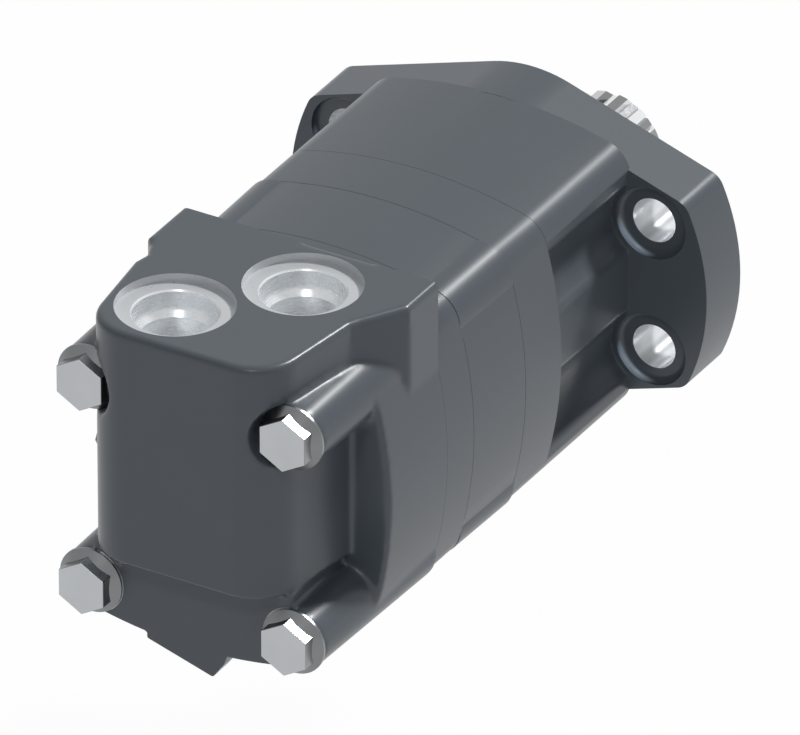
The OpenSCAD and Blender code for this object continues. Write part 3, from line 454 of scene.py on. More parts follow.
def striped_reflection_group():
    """Painted reflection: a level that goes up and down as the surface turns about X, like long lamps seen in
    bright metal.
    """
    group, given, out = new_group(
        "Striped reflection",
        [(label, "NodeSocketFloat", default) for label, default in
         (("Level", 1.0), ("Count", 5.0), ("Shift", 0.0), ("Low", 0.5), ("High", 1.0))],
        [("Level", "NodeSocketFloat")],
    )
    place = group.nodes.new("ShaderNodeTexCoord")
    parts = group.nodes.new("ShaderNodeSeparateXYZ")
    wire(group, place.outputs["Normal"], parts.inputs[0])
    turn = maths(group, "ARCTAN2", parts.outputs["Z"], parts.outputs["Y"])
    phase = maths(group, "MULTIPLY", turn, given.outputs["Count"])
    wave = maths(group, "SINE", maths(group, "ADD", phase, given.outputs["Shift"]))
    painted_streaks = smooth_steps(group, wave, {
        "From Min": -0.8, "From Max": 0.6,
        "To Min": given.outputs["Low"], "To Max": given.outputs["High"],
    })
    wire(group, maths(group, "MULTIPLY", painted_streaks, given.outputs["Level"]), out.inputs["Level"])
    return group


def facing_reflection_group():
    """Painted reflection: adds to a level where the surface faces one way, as a bright panel shows in one
    side of a shape.
    """
    group, given, out = new_group(
        "Facing reflection",
        [("Level", "NodeSocketFloat", 1.0), ("Axis", "NodeSocketVector", (0.0, 0.0, 1.0)),
         ("From", "NodeSocketFloat", 0.9), ("To", "NodeSocketFloat", 0.99), ("Gain", "NodeSocketFloat", 0.5)],
        [("Level", "NodeSocketFloat")],
    )
    place = group.nodes.new("ShaderNodeTexCoord")
    facing = group.nodes.new("ShaderNodeVectorMath")
    facing.operation = "DOT_PRODUCT"
    wire(group, place.outputs["Normal"], facing.inputs[0])
    wire(group, given.outputs["Axis"], facing.inputs[1])
    ends = {"From Min": given.outputs["From"], "From Max": given.outputs["To"]}
    mask = smooth_steps(group, facing.outputs["Value"], ends)
    gain = maths(group, "MULTIPLY", mask, given.outputs["Gain"])
    wire(group, maths(group, "ADD", given.outputs["Level"], gain), out.inputs["Level"])
    return group


def grouped_material(name, group, values, bump_strength, bump_distance, metallic, specular, levels=()):
    """A Principled material fed by a shader group. The levels are groups of painted light, highlights and
    reflections, that scale its colour in turn.
    """
    material = bpy.data.materials.new(name)
    material.use_nodes = True
    tree = material.node_tree
    shader = tree.nodes["Principled BSDF"]
    node = tree.nodes.new("ShaderNodeGroup")
    node.node_tree = group
    for label, value in values.items():
        node.inputs[label].default_value = value
    bump = tree.nodes.new("ShaderNodeBump")
    bump.inputs["Strength"].default_value = bump_strength
    bump.inputs["Distance"].default_value = bump_distance
    wire(tree, node.outputs["Height"], bump.inputs["Height"])
    wire(tree, bump.outputs["Normal"], shader.inputs["Normal"])
    tint = node.outputs["Colour"]
    level = None
    for effect, settings in levels:
        scale = tree.nodes.new("ShaderNodeGroup")
        scale.node_tree = effect
        for label, value in settings.items():
            scale.inputs[label].default_value = value
        if level:
            wire(tree, level, scale.inputs["Level"])
        level = scale.outputs["Level"]
    if level:
        tint = scaled(tree, tint, level)
    wire(tree, tint, shader.inputs["Base Color"])
    wire(tree, node.outputs["Roughness"], shader.inputs["Roughness"])
    shader.inputs["Metallic"].default_value = metallic
    shader.inputs["Specular IOR Level"].default_value = specular
    return material


def opaque(rgb):
    """A colour with full alpha."""
    return (*rgb, 1.0)


def make_materials(finish):
    """Every material of the motor, by name."""
    grain = cast_grain_group()
    marks = tool_marks_group()
    painted_streaks, painted_facing_light = striped_reflection_group(), facing_reflection_group()
    paint = {"Scale": 1.0, "Colour": opaque(finish.paint), "Tone change": 0.06, "Gloss": 0.31}
    made = {
        "paint": grouped_material("Satin grey paint", grain, paint, 0.06, 0.00004, 0.0, 0.4),
        # Painted highlight: the seats' paint is raised to several times its colour where their curved wall
        # faces up, back and to the right.
        "seat paint with painted highlight": grouped_material(
            "Satin grey paint in the seats, with a painted highlight", grain, paint, 0.06, 0.00004, 0.0, 0.4,
            [(painted_facing_light, {"Axis": (-0.42, -0.6, 0.68), "From": 0.72, "To": 0.98, "Gain": 4.5})]),
        "machined": grouped_material(
            "Machined iron", marks, {"Scale": 1.0, "Gloss": 0.3, "Colour": opaque(finish.machined)},
            0.05, 0.00003, 0.3, 0.4),
        "port": grouped_material(
            "Bright port", marks, {"Scale": 1.0, "Gloss": 0.26, "Colour": opaque(finish.port)},
            0.05, 0.00003, 0.45, 0.5),
        # Painted reflection: the bores' colour goes up and down in streaks as the surface turns about X.
        "bore": grouped_material(
            "Bright bore", marks, {"Scale": 1.0, "Gloss": 0.24, "Colour": opaque(finish.bore)},
            0.05, 0.00003, 0.3, 0.5, [(painted_streaks, {"Count": 5.0, "Shift": 0.6, "Low": 0.66, "High": 1.1})]),
        # Painted light: the screws' colour is scaled to under half, then raised again on faces towards the
        # rear, faces up and to the right and, a little, faces to the right.
        "screw": grouped_material(
            "Plated screw with painted highlights", marks, {"Scale": 1.3, "Gloss": 0.34, "Colour": opaque(finish.screw)},
            0.04, 0.00003, 1.0, 0.5,
            [(painted_facing_light, {"Level": 0.45, "Axis": (-1.0, 0.0, 0.0), "Gain": 0.55}),
             (painted_facing_light, {"Axis": (0.0, -0.5, 0.866), "From": 0.96, "Gain": 1.5}),
             (painted_facing_light, {"Axis": (-0.3, -0.9, -0.1), "From": 0.75, "Gain": 0.3})]),
        # Painted reflection: the steel's colour goes up and down in streaks as the surface turns about X.
        "steel": grouped_material(
            "Ground steel", marks, {"Scale": 2.0, "Gloss": 0.12, "Colour": opaque(finish.steel)},
            0.03, 0.00002, 1.0, 0.5, [(painted_streaks, {"Count": 9.0, "Shift": 0.4, "Low": 0.42, "High": 1.4})]),
        "brass": grouped_material(
            "Machined brass", marks, {"Scale": 2.0, "Gloss": 0.3, "Colour": opaque(finish.brass)},
            0.05, 0.00002, 1.0, 0.5),
        "rubber": grouped_material(
            "Seal rubber", grain,
            {"Scale": 1.4, "Colour": opaque(finish.rubber), "Tone change": 0.2, "Gloss": 0.55},
            0.1, 0.00004, 0.0, 0.35),
    }
    # Painted light: the ports' walls glow a little, standing in for the light that they pass on to each
    # other.
    glow = made["port"].node_tree.nodes["Principled BSDF"]
    glow.inputs["Emission Color"].default_value = (1.0, 1.0, 1.0, 1.0)
    glow.inputs["Emission Strength"].default_value = finish.port_painted_glow
    return made


MATERIALS = {}


def finishes():
    """The materials, made once."""
    if not MATERIALS:
        MATERIALS.update(make_materials(bpy.context.scene.motor_finish))
    return MATERIALS


def paint_and_metal(obj):
    """Gives obj the paint in its first slot and machined metal in its second."""
    coat(obj, "paint").data.materials.append(finishes()["machined"])
    return obj


# The pieces


def four_places(y, z):
    """The corners of a rectangle round the motor's axis, in Y and Z."""
    return [(sy * y, sz * z) for sy in (-1, 1) for sz in (-1, 1)]


def screw_centres():
    """Centres of the four housing screws, in Y and Z, from the round ends of their threads."""
    vertices = frame["nodes"]["housing_screws"].data.vertices
    ends = [v.co for v in vertices if v.co.x > X_SCREW_TIPS - 1e-5]
    return four_places(*(sum(abs(end[axis]) for end in ends) / len(ends) for axis in (1, 2)))


def flange_hole_centres():
    """Centres of the four flange holes, in Y and Z."""
    return four_places(*(FLANGE_BOLTS[key] * MM / 2 for key in ("spacing_x_mm", "spacing_y_mm")))


def outline(node, x, least, skip, clear):
    """A node's outline at one plane, as (Y, Z) points in order round the motor's axis."""
    points = {}
    for vertex in frame["nodes"][node].data.vertices:
        y, z = vertex.co.y, vertex.co.z
        if abs(vertex.co.x - x) > 1e-5 or math.hypot(y, z) < least:
            continue
        if any(math.hypot(y - cy, z - cz) < clear for cy, cz in skip):
            continue
        points[round(math.atan2(z, y), 5)] = (y, z)
    return [points[angle] for angle in sorted(points)]


def add_prism(bm, loop, x0, x1):
    """Adds a solid that a (Y, Z) outline sweeps from x0 to x1."""
    rear = [bm.verts.new((x0, y, z)) for y, z in loop]
    front = [bm.verts.new((x1, y, z)) for y, z in loop]
    bm.faces.new(rear)
    bm.faces.new(reversed(front))
    for i in range(len(loop)):
        j = (i + 1) % len(loop)
        bm.faces.new((rear[j], rear[i], front[i], front[j]))


def solid(name, *shapes):
    """One closed object from (function, arguments) shapes, joined exactly."""
    whole = None
    for make, *values in shapes:
        bm = bmesh.new()
        make(bm, *values)
        bmesh.ops.recalc_face_normals(bm, faces=bm.faces)
        part = object_from(bm, name)
        whole = part if whole is None else carve(whole, part, "UNION")
    return whole


def coat(obj, material):
    """Gives an object one material."""
    obj.data.materials.clear()
    obj.data.materials.append(finishes()[material])
    return obj


def drill(obj, material, start, end, radius, segments=96):
    """Cuts a round hole of one material in obj."""
    carve(obj, coat(solid("hole", (add_bar, start, end, radius, segments)), material))


def cad_copy(node):
    """A merged copy of a CAD node, for use in a cut."""
    return object_from(node_bmesh(node), "copy")


def body_loop():
    """The outline of the motor's body."""
    return outline("wear_plate", X_FRONT_JOINT, BODY_HALF * 0.92, screw_centres(), 6 * MM)


def extend(bm, node, plane, side, shift):
    """Adds the end of a node again, moved along X, so that a blend runs past a joint."""
    end = node_bmesh(node)
    cut = bmesh.ops.bisect_plane(
        end, geom=end.verts[:] + end.edges[:] + end.faces[:], plane_co=(plane, 0, 0),
        plane_no=(side, 0, 0), clear_inner=True, dist=1e-7,
    )
    edges = [e for e in cut["geom_cut"] if isinstance(e, bmesh.types.BMEdge)]
    bmesh.ops.holes_fill(end, edges=edges, sides=0)
    bmesh.ops.translate(end, verts=end.verts, vec=(side * shift, 0, 0))
    mesh = bpy.data.meshes.new("end")
    end.to_mesh(mesh)
    end.free()
    bm.from_mesh(mesh)
    bpy.data.meshes.remove(mesh)


def along_x(y, z):
    """Places a turned shape with its axis along X."""
    return Matrix.Translation((0.0, y, z)) @ Matrix.Rotation(math.radians(90), 4, "Y")


def two_tone(obj, axis):
    """Machined metal on the faces square to an axis, paint on the others."""
    paint_and_metal(obj)
    for face in obj.data.polygons:
        face.material_index = 1 if abs(face.normal.dot(axis)) > 0.9 else 0
    return obj


def clamp_box(obj, node):
    """Keeps an object inside its CAD node's box."""
    low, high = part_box(node)
    for vertex in obj.data.vertices:
        vertex.co = [min(max(c, a), b) for c, a, b in zip(vertex.co, low, high)]


def cad_edges(node, wanted):
    """A CAD node's sharp outer edges with both ends wanted, each with the normals of its two faces."""
    bm = node_bmesh(node)
    found = []
    for edge in bm.edges:
        if len(edge.link_faces) == 2 and edge.is_convex and edge.calc_face_angle(0.0) > math.radians(40):
            if all(wanted(vertex.co) for vertex in edge.verts):
                ends = [vertex.co.copy() for vertex in edge.verts]
                found.append((*ends, *(face.normal.copy() for face in edge.link_faces)))
    bm.free()
    return found


def redraw_edges(obj, edges, zone, radius):
    """Makes a blended skin follow the faces on both sides of each edge, with an exact round between them."""
    mark_step, end_slack = 0.4 * MM, 0.3 * MM
    marks = []
    for index, (start, end, _, _) in enumerate(edges):
        steps = max(1, math.ceil((end - start).length / mark_step))
        marks += [(start.lerp(end, i / steps), index) for i in range(steps + 1)]
    tree = KDTree(len(marks))
    for i, (place, _) in enumerate(marks):
        tree.insert(place, i)
    tree.balance()
    for vertex in obj.data.vertices:
        _, i, distance = tree.find(vertex.co)
        if distance > 3 * zone:
            continue
        start, end, first, second = edges[marks[i][1]]
        along = (end - start).normalized()
        passed = (vertex.co - start).dot(along)
        if not -end_slack < passed < (end - start).length + end_slack:
            continue
        foot = start + along * passed
        inward = (first + second) / (1 + first.dot(second))
        away = vertex.co - (foot - inward * zone)
        away -= along * away.dot(along)
        if away.dot(first) > 0 and away.dot(second) > 0:
            vertex.co = foot - inward * radius + away.normalized() * radius
        else:
            normal = first if away.dot(first) > away.dot(second) else second
            depth = (foot - vertex.co).dot(normal)
            if abs(depth) < zone / 2:
                vertex.co += normal * depth


def valve_blank(sizes, x_seats, drain):
    """The rear casting before machining: every hole filled, edges blended, joint cut flat."""
    bm = node_bmesh("valve_housing")
    past_joint = 8 * MM
    past = X_VALVE_JOINT + past_joint
    valve_core_r = 14 * MM
    drain_boss_l, drain_boss_r = 26 * MM, 9.6 * MM
    for port in (REAR_PORT, FRONT_PORT):
        add_bar(bm, (port.x, port.y, 0.0), (port.x, port.y, DECK_Z), sizes.port_seat_r + 0.2 * MM)
    for y, z in screw_centres():
        add_bar(bm, (x_seats, y, z), (past, y, z), sizes.screw_hole_r + 1 * MM)
    add_bar(bm, (X_CHAMBER_REAR - 2 * MM, 0, 0), (past, 0, 0), sizes.chamber_r + CHAMBER_SKIN)
    inner_r = sizes.chamber_r - INNER_CHAMBER_INSET
    add_bar(bm, (X_CHAMBER_REAR - INNER_CHAMBER_LEAD, 0, 0), (past, 0, 0), inner_r)
    add_bar(bm, (REAR_PORT.x - 8 * MM, 0, 0), (past, 0, 0), valve_core_r)
    # The drain's wall slopes, so its filling stands square to the wall, which is found below the plug
    below_plug, left_of_motor = 17 * MM, 100 * MM
    side = Vector((drain.x, left_of_motor, drain.z - below_plug))
    _, wall, normal, _ = frame["nodes"]["valve_housing"].ray_cast(side, Vector((0, -1, 0)))
    wall.z = drain.z
    add_bar(bm, wall - normal * drain_boss_l, wall, drain_boss_r)
    extend(bm, "valve_housing", X_VALVE_JOINT - 12 * MM, 1, past_joint)
    wing_low = DECK_Z - sizes.wing_drop
    add_box(bm, (X_VALVE_JOINT - 14 * MM, -sizes.wing_half, wing_low - 5 * MM),
            (past, -sizes.wing_half + 8 * MM, wing_low + 5 * MM))
    obj = blend_casting(object_from(bm, "valve_housing_casting"), sizes.voxel, sizes.blend_rounds)
    slice_off(obj, (X_VALVE_JOINT, 0, 0), (1, 0, 0))
    clamp_box(obj, "valve_housing")
    redraw_valve_edges(obj, sizes, x_seats)
    under_wing = solid("under_wing", (
        add_box, (X_VALVE_JOINT - 26 * MM, -sizes.wing_half - 4 * MM, wing_low - 9 * MM),
        (X_VALVE_JOINT + 1 * MM, -sizes.wing_half + 9 * MM, wing_low)))
    body = solid("body", (add_prism, body_loop(), X_VALVE_JOINT - 40 * MM, X_VALVE_JOINT + 2 * MM))
    carve(under_wing, body)
    paint_and_metal(obj)
    return carve(obj, coat(under_wing, "paint"))


def redraw_valve_edges(obj, sizes, x_seats):
    """Makes the deck's edge, the crisp edges under the tower and the tower's lower edge exact."""
    cad = frame["nodes"]["valve_housing"].data
    tower_low = min(v.co.z for v in cad.vertices if v.co.x < x_seats - 3 * MM)
    ports = [Vector((port.x, port.y)) for port in (REAR_PORT, FRONT_PORT)]
    clear_of_port = sizes.port_seat_r + 0.5 * MM
    clear_of_boss = 9.7 * MM
    low_zone = 1.0 * MM

    def on_deck(co):
        return co.z > DECK_Z - 1e-6 and all((co.xy - port).length > clear_of_port for port in ports)

    def under_tower(co):
        return abs(co.x - x_seats) < 1e-6 and co.z < tower_low and all(
            math.hypot(co.y - y, co.z - z) > clear_of_boss for y, z in screw_centres())

    def on_tower_low(co):
        return abs(co.z - tower_low) < 1e-6 and co.x < x_seats - 0.5 * MM

    # The deck's edge along the joint stays sharp
    rim = [edge for edge in cad_edges("valve_housing", on_deck)
           if min(edge[0].x, edge[1].x) < X_VALVE_JOINT - 1e-6]
    redraw_edges(obj, rim, sizes.deck_round, sizes.deck_round)
    redraw_edges(obj, cad_edges("valve_housing", under_tower), low_zone, sizes.crisp_round)
    redraw_edges(obj, cad_edges("valve_housing", on_tower_low), low_zone, sizes.tower_round)


def valve_cavity(sizes):
    """The space inside the rear casting, short of its mouth, its ports and its screw holes."""
    floor = DECK_Z - sizes.port_depth - 0.1 * MM
    rear, front = REAR_PORT.x - 11 * MM, REAR_PORT.x + 13 * MM
    cavity = solid(
        "cavity",
        (add_bar, (X_CHAMBER_REAR - 2 * MM, 0, 0), (X_VALVE_JOINT - 0.5 * MM, 0, 0),
         sizes.chamber_r + CHAMBER_SKIN),
        (add_bar, (X_CHAMBER_REAR - INNER_CHAMBER_LEAD, 0, 0), (X_CHAMBER_REAR + 1 * MM, 0, 0),
         sizes.chamber_r - INNER_CHAMBER_INSET),
        (add_box, (rear, -14 * MM, -14 * MM), (front, 17.7 * MM, 16 * MM)),
        (add_box, (rear, -13 * MM, 15 * MM), (front, 20 * MM, floor)),
        (add_bar, (FRONT_PORT.x, FRONT_PORT.y, 20 * MM), (FRONT_PORT.x, FRONT_PORT.y, floor), 6.5 * MM))
    return coat(carve(cavity, cad_copy("valve_housing")), "machined")


class MOTOR_OT_valve_housing(bpy.types.Operator):
    """Makes the rear casting: tower, port deck, screw bosses, seats and ports"""

    bl_idname = "motor.valve_housing"
    bl_label = "Valve housing"

    def execute(self, context):
        sizes = context.scene.motor_sizes
        x_seats = X_HEADS + sizes.head_h
        low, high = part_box("drain_plug")
        drain = Vector(((low.x + high.x) / 2, high.y - 3.05 * MM, (low.z + high.z) / 2))
        obj = valve_blank(sizes, x_seats, drain)
        carve(obj, valve_cavity(sizes))
        drill(obj, "machined", (X_VALVE_JOINT - 1 * MM, 0, 0), (X_VALVE_JOINT + 2 * MM, 0, 0),
              sizes.chamber_r + 0.05 * MM)
        for port in (REAR_PORT, FRONT_PORT):
            place = Matrix.Translation((port.x, port.y, DECK_Z))
            cut = solid("port", (add_lathe, port_profile(sizes), place))
            coat(cut, "port").data.materials.append(finishes()["machined"])
            seat = DECK_Z - sizes.port_seat_depth - 0.01 * MM
            for face in cut.data.polygons:
                lowest = min(cut.data.vertices[v].co.z for v in face.vertices)
                face.material_index = 1 if lowest > seat else 0
            carve(obj, cut)
        # Half sections in mm: the end of a screw boss, and below the drain with its plug's seat
        tip = [(0, 0.01), (9.5, 0.01), (9.25, 0.9), (8.2, 2.3), (0, 2.3)]
        tip = [(r * MM, x_seats + h * MM) for r, h in tip]
        for y, z in screw_centres():
            carve(obj, coat(solid("tip", (add_lathe, tip, along_x(y, z))), "paint"), "UNION")
            cut = solid("seat", (add_lathe, screw_profile(sizes, x_seats), along_x(y, z)))
            carve(obj, two_tone(cut, Vector((1, 0, 0))))
        plug = [(0, -13.3), (5.45, -13.3), (5.45, 0), (9, 0), (9, 6), (0, 6)]
        cut = solid("drain", (add_lathe, [(r * MM, h * MM) for r, h in plug],
                              Matrix.Translation(drain) @ Matrix.Rotation(math.radians(-90), 4, "X")))
        carve(obj, coat(cut, "machined"))
        shade(obj)
        dressed(obj, "valve_housing_casting", HOUSING, ["valve_housing"])
        return {"FINISHED"}


def screw_profile(sizes, x_seats):
    """Half section of a screw's hole and of the seat for its head."""
    seat = x_seats + 0.02 * MM
    rear, front = X_TOWER_REAR - 3 * MM, X_VALVE_JOINT + 2 * MM
    return [(0.0, rear), (sizes.seat_r, rear), (sizes.seat_r, seat), (sizes.screw_hole_r, seat),
            (sizes.screw_hole_r, front), (0.0, front)]


def port_profile(sizes):
    """Half section of a port, from its floor up past the deck."""
    seat = -sizes.port_seat_depth
    mouth = seat - sizes.port_mouth_depth
    edge = 0.45 * MM
    floor = -sizes.port_depth - 0.2 * MM
    thread_r = MOUNTS["rear_port"]["dims"]["r_mm"] * MM
    return [
        (0.0, floor), (thread_r, floor), (thread_r, mouth - 1.5 * MM),
        (sizes.port_mouth_r - 0.6 * MM, mouth), (sizes.port_mouth_r, mouth + 1.0 * MM),
        (sizes.port_mouth_r, seat - edge), (sizes.port_mouth_r + edge, seat), (sizes.port_seat_r, seat),
        (sizes.port_seat_r, 2 * MM), (0.0, 2 * MM),
    ]


class MOTOR_OT_bearing_housing(bpy.types.Operator):
    """Makes the front casting with its flange, bolt pockets, seats and pilot"""

    bl_idname = "motor.bearing_housing"
    bl_label = "Bearing housing"

    def execute(self, context):
        sizes = context.scene.motor_sizes
        holes = flange_hole_centres()
        rear = -sizes.flange_t
        inside_r, mouth_r, thread_reach = 35 * MM, 33.6 * MM, 21 * MM
        pilot_r, pilot_h = (MOUNTS["pilot"]["dims"][key] * MM for key in ("r_mm", "length_mm"))
        obj = solid("bearing_housing_casting", (add_prism, body_loop(), X_FRONT_JOINT, rear + 1 * MM))
        paint_and_metal(obj)
        flange = outline("bearing_housing", 0.0, pilot_r * 1.04, holes, 7.6 * MM)
        meet_flange(obj, flange, rear)
        carve(obj, coat(pocket_space(sizes, holes, rear), "paint"))
        plate = solid("flange", (add_prism, flange, rear, 0.0))
        bevel_rim(plate, 0.0, sizes.flange_bevel)
        bevel_rim(plate, rear, sizes.flange_bevel / 4)
        carve(obj, coat(plate, "paint"), "UNION")
        pilot = solid("pilot", (add_bar, (-1 * MM, 0, 0), (pilot_h, 0, 0), pilot_r, 192))
        carve(obj, coat(bevel_edges(pilot, 0.4 * MM, 60), "machined"), "UNION")
        bore = solid("bore", (add_bar, (X_FRONT_JOINT + 0.5 * MM, 0, 0), (1 * MM, 0, 0), inside_r))
        carve(obj, coat(carve(bore, cad_copy("bearing_housing")), "machined"))
        drill(obj, "machined", (X_FRONT_JOINT - 1 * MM, 0, 0), (X_FRONT_JOINT + 1 * MM, 0, 0), mouth_r)
        # Half section in mm of the opening in the pilot's face
        rim = [(0, 0.8), (22.58, 0.8), (22.58, 1.6), (23.9, 3.0), (0, 3.0)]
        cut = solid("rim", (add_lathe, [(r * MM, h * MM) for r, h in rim], along_x(0, 0)))
        carve(obj, coat(cut, "machined"))
        for y, z in screw_centres():
            drill(obj, "machined", (X_FRONT_JOINT - 1 * MM, y, z), (X_FRONT_JOINT + thread_reach, y, z),
                  sizes.shank_r + 0.05 * MM)
        for y, z in holes:
            seat = solid("seat", (add_lathe, seat_profile(sizes), along_x(y, z)))
            # The seats take the paint that carries a painted highlight.
            carve(obj, coat(seat, "seat paint with painted highlight"))
            drill(obj, "bore", (rear - 6 * MM, y, z), (1 * MM, y, z), FLANGE_BOLTS["hole_r_mm"] * MM)
        shade(obj)
        dressed(obj, "bearing_housing_casting", HOUSING, ["bearing_housing"])
        return {"FINISHED"}


def bevel_edges(obj, width, degrees, segments=2):
    """Bevels the edges that are sharper than an angle."""
    bevel = obj.modifiers.new("bevel", "BEVEL")
    bevel.width = width
    bevel.segments = segments
    bevel.limit_method = "ANGLE"
    bevel.angle_limit = math.radians(degrees)
    return bake_modifiers(obj)


def meet_flange(obj, flange, rear):
    """Raises the body's top and bottom by the little that they lack to reach the flange's edge."""
    for vertex in obj.data.vertices:
        if vertex.co.x < rear:
            continue
        y, z = vertex.co.yz
        for (y0, z0), (y1, z1) in zip(flange, flange[1:] + flange[:1]):
            if min(y0, y1) <= y <= max(y0, y1) and y0 != y1 and z0 * z > 0:
                edge = z0 + (z1 - z0) * (y - y0) / (y1 - y0)
                if 0 < abs(edge) - abs(z) < 1.5 * MM:
                    vertex.co.z = edge - math.copysign(0.03 * MM, edge)


def bevel_rim(obj, x, width):
    """Bevels the edges that lie in one plane across the motor."""
    bm = bmesh.new()
    bm.from_mesh(obj.data)
    rim = [edge for edge in bm.edges if all(abs(vertex.co.x - x) < 1e-6 for vertex in edge.verts)]
    bmesh.ops.bevel(bm, geom=rim, offset=width, segments=2, profile=0.5, affect="EDGES")
    bm.to_mesh(obj.data)
    bm.free()


def taper_corners(obj, x, step):
    """Draws in the round corners of a slice at one face, so that they start level with the next slice."""
    for cy, cz in screw_centres():
        at_face = [v for v in obj.data.vertices
                   if abs(v.co.x - x) < 1e-6 and v.co.y * cy > 0 and v.co.z * cz > 0]
        away = {v: Vector((0.0, v.co.y - cy, v.co.z - cz)) for v in at_face}
        reach = max(a.length for v, a in away.items() if abs(v.co.y) > abs(cy) and abs(v.co.z) > abs(cz))
        for v, a in away.items():
            if abs(a.length - reach) < 0.1 * MM:
                v.co -= a.normalized() * step


def seat_profile(sizes):
    """Half section of a flange seat: a flat floor that curves out to the flange's rear face."""
    floor = -sizes.flange_t + sizes.flange_seat_depth
    curve = sizes.flange_seat_depth
    inner = sizes.flange_seat_r - curve
    arc = [math.radians(a) for a in range(0, 91, 10)]
    points = [(inner + curve * math.sin(a), floor - curve * (1 - math.cos(a))) for a in arc]
    end = points[-1][1] - 1.5 * MM
    return [(0.0, end), (sizes.flange_seat_r, end)] + points[::-1] + [(0.0, floor)]


def pocket_space(sizes, holes, rear):
    """The space beside the bearing housing: its flat sides and bolt pockets, with soft edges."""
    bm = bmesh.new()
    start, end = X_FRONT_JOINT - 6 * MM, rear + 0.25 * MM
    for y, z in holes:
        add_bar(bm, (start, y, z), (end, y, z), sizes.pocket_r)
    for side in (-1, 1):
        y0, y1 = sorted((side * sizes.side_half, side * (BODY_HALF + 12 * MM)))
        add_box(bm, (start, y0, -44 * MM), (end, y1, 44 * MM))
    return blend_casting(object_from(bm, "pocket_space"), 0.7 * MM, 5)


def screw_mesh(sizes):
    """One housing screw with its tip towards +X and the seat of its head at the origin."""
    reach = X_SCREW_TIPS - X_HEADS - sizes.head_h
    chamfer = 1.5 * MM
    rim, slope = 0.8 * MM, 2.1 * MM
    flat = sizes.head_af / 2
    shank = [(0.0, -rim), (sizes.head_flange_r, -rim), (sizes.head_flange_r, 0.0), (sizes.shank_r, 0.0),
             (sizes.shank_r, reach - chamfer), (sizes.shank_r - 1 * MM, reach), (0.0, reach)]
    body = solid("screw", (add_lathe, shank, along_x(0, 0)))
    cone = solid("cone", (add_bar, (-rim - slope, 0, 0), (-rim + 0.001 * MM, 0, 0), flat - 0.15 * MM, 128,
                          sizes.head_flange_r))
    corner_r = flat / math.cos(math.pi / 6)
    middle = along_x(0, 0)
    middle.translation.x = -(sizes.head_h + rim / 2) / 2
    bm = bmesh.new()
    bmesh.ops.create_cone(
        bm, cap_ends=True, segments=6, radius1=corner_r, radius2=corner_r, depth=sizes.head_h - rim / 2,
        matrix=middle @ Matrix.Rotation(math.radians(30), 4, "Z"),
    )
    head = object_from(bm, "head")
    bevel_edges(head, 0.12 * MM, 50, 1)
    carve(body, cone, "UNION")
    carve(body, head, "UNION")
    return body


def repeat_tree(material):
    """Geometry nodes that stand copies of a mesh at the corners of an upright rectangle."""
    tree = bpy.data.node_groups.new("Four places", "GeometryNodeTree")
    tree.interface.new_socket(name="Geometry", in_out="INPUT", socket_type="NodeSocketGeometry")
    for label in ("Width", "Height", "Along"):
        tree.interface.new_socket(name=label, in_out="INPUT", socket_type="NodeSocketFloat")
    tree.interface.new_socket(name="Geometry", in_out="OUTPUT", socket_type="NodeSocketGeometry")
    given, out = tree.nodes.new("NodeGroupInput"), tree.nodes.new("NodeGroupOutput")
    grid = tree.nodes.new("GeometryNodeMeshGrid")
    grid.inputs["Vertices X"].default_value = 2
    grid.inputs["Vertices Y"].default_value = 2
    wire(tree, given.outputs["Height"], grid.inputs["Size X"])
    wire(tree, given.outputs["Width"], grid.inputs["Size Y"])
    place = tree.nodes.new("GeometryNodeTransform")
    shift = tree.nodes.new("ShaderNodeCombineXYZ")
    wire(tree, given.outputs["Along"], shift.inputs["X"])
    wire(tree, shift.outputs[0], place.inputs["Translation"])
    place.inputs["Rotation"].default_value = (0.0, math.radians(90), 0.0)
    wire(tree, grid.outputs["Mesh"], place.inputs["Geometry"])
    copies = tree.nodes.new("GeometryNodeInstanceOnPoints")
    wire(tree, place.outputs["Geometry"], copies.inputs["Points"])
    wire(tree, given.outputs["Geometry"], copies.inputs["Instance"])
    real = tree.nodes.new("GeometryNodeRealizeInstances")
    wire(tree, copies.outputs["Instances"], real.inputs["Geometry"])
    finish = tree.nodes.new("GeometryNodeSetMaterial")
    finish.inputs["Material"].default_value = material
    wire(tree, real.outputs["Geometry"], finish.inputs["Geometry"])
    wire(tree, finish.outputs["Geometry"], out.inputs["Geometry"])
    return tree


class MOTOR_OT_screws(bpy.types.Operator):
    """Makes one housing screw and repeats it at its four places"""

    bl_idname = "motor.screws"
    bl_label = "Housing screws"

    def execute(self, context):
        sizes = context.scene.motor_sizes
        obj = shade(screw_mesh(sizes), 25, 25)
        tree = repeat_tree(finishes()["screw"])
        repeat = obj.modifiers.new("repeat", "NODES")
        repeat.node_group = tree
        y, z = screw_centres()[-1]
        values = {"Width": 2 * y, "Height": 2 * z, "Along": X_HEADS + sizes.head_h}
        for socket in tree.interface.items_tree:
            if socket.in_out == "INPUT" and socket.name in values:
                repeat[socket.identifier] = values[socket.name]
        bake_modifiers(obj)
        dressed(obj, "flange_screws", HOUSING, ["housing_screws"])
        return {"FINISHED"}


class MOTOR_OT_slices(bpy.types.Operator):
    """Finishes the valve plate, geroler ring and wear plate, with a fine bevel at each joint"""

    bl_idname = "motor.slices"
    bl_label = "Slices"

    def execute(self, context):
        sizes = context.scene.motor_sizes
        for node in ("valve_plate", "geroler_ring", "wear_plate"):
            obj = object_from(node_bmesh(node), node + "_slice")
            if node == "geroler_ring":
                taper_corners(obj, X_RING_JOINT, sizes.ring_step)
            bevel_edges(obj, sizes.joint_bevel, 50, 1)
            shade(coat(obj, "paint"), 30)
            dressed(obj, node + "_slice", HOUSING, [node])
        return {"FINISHED"}


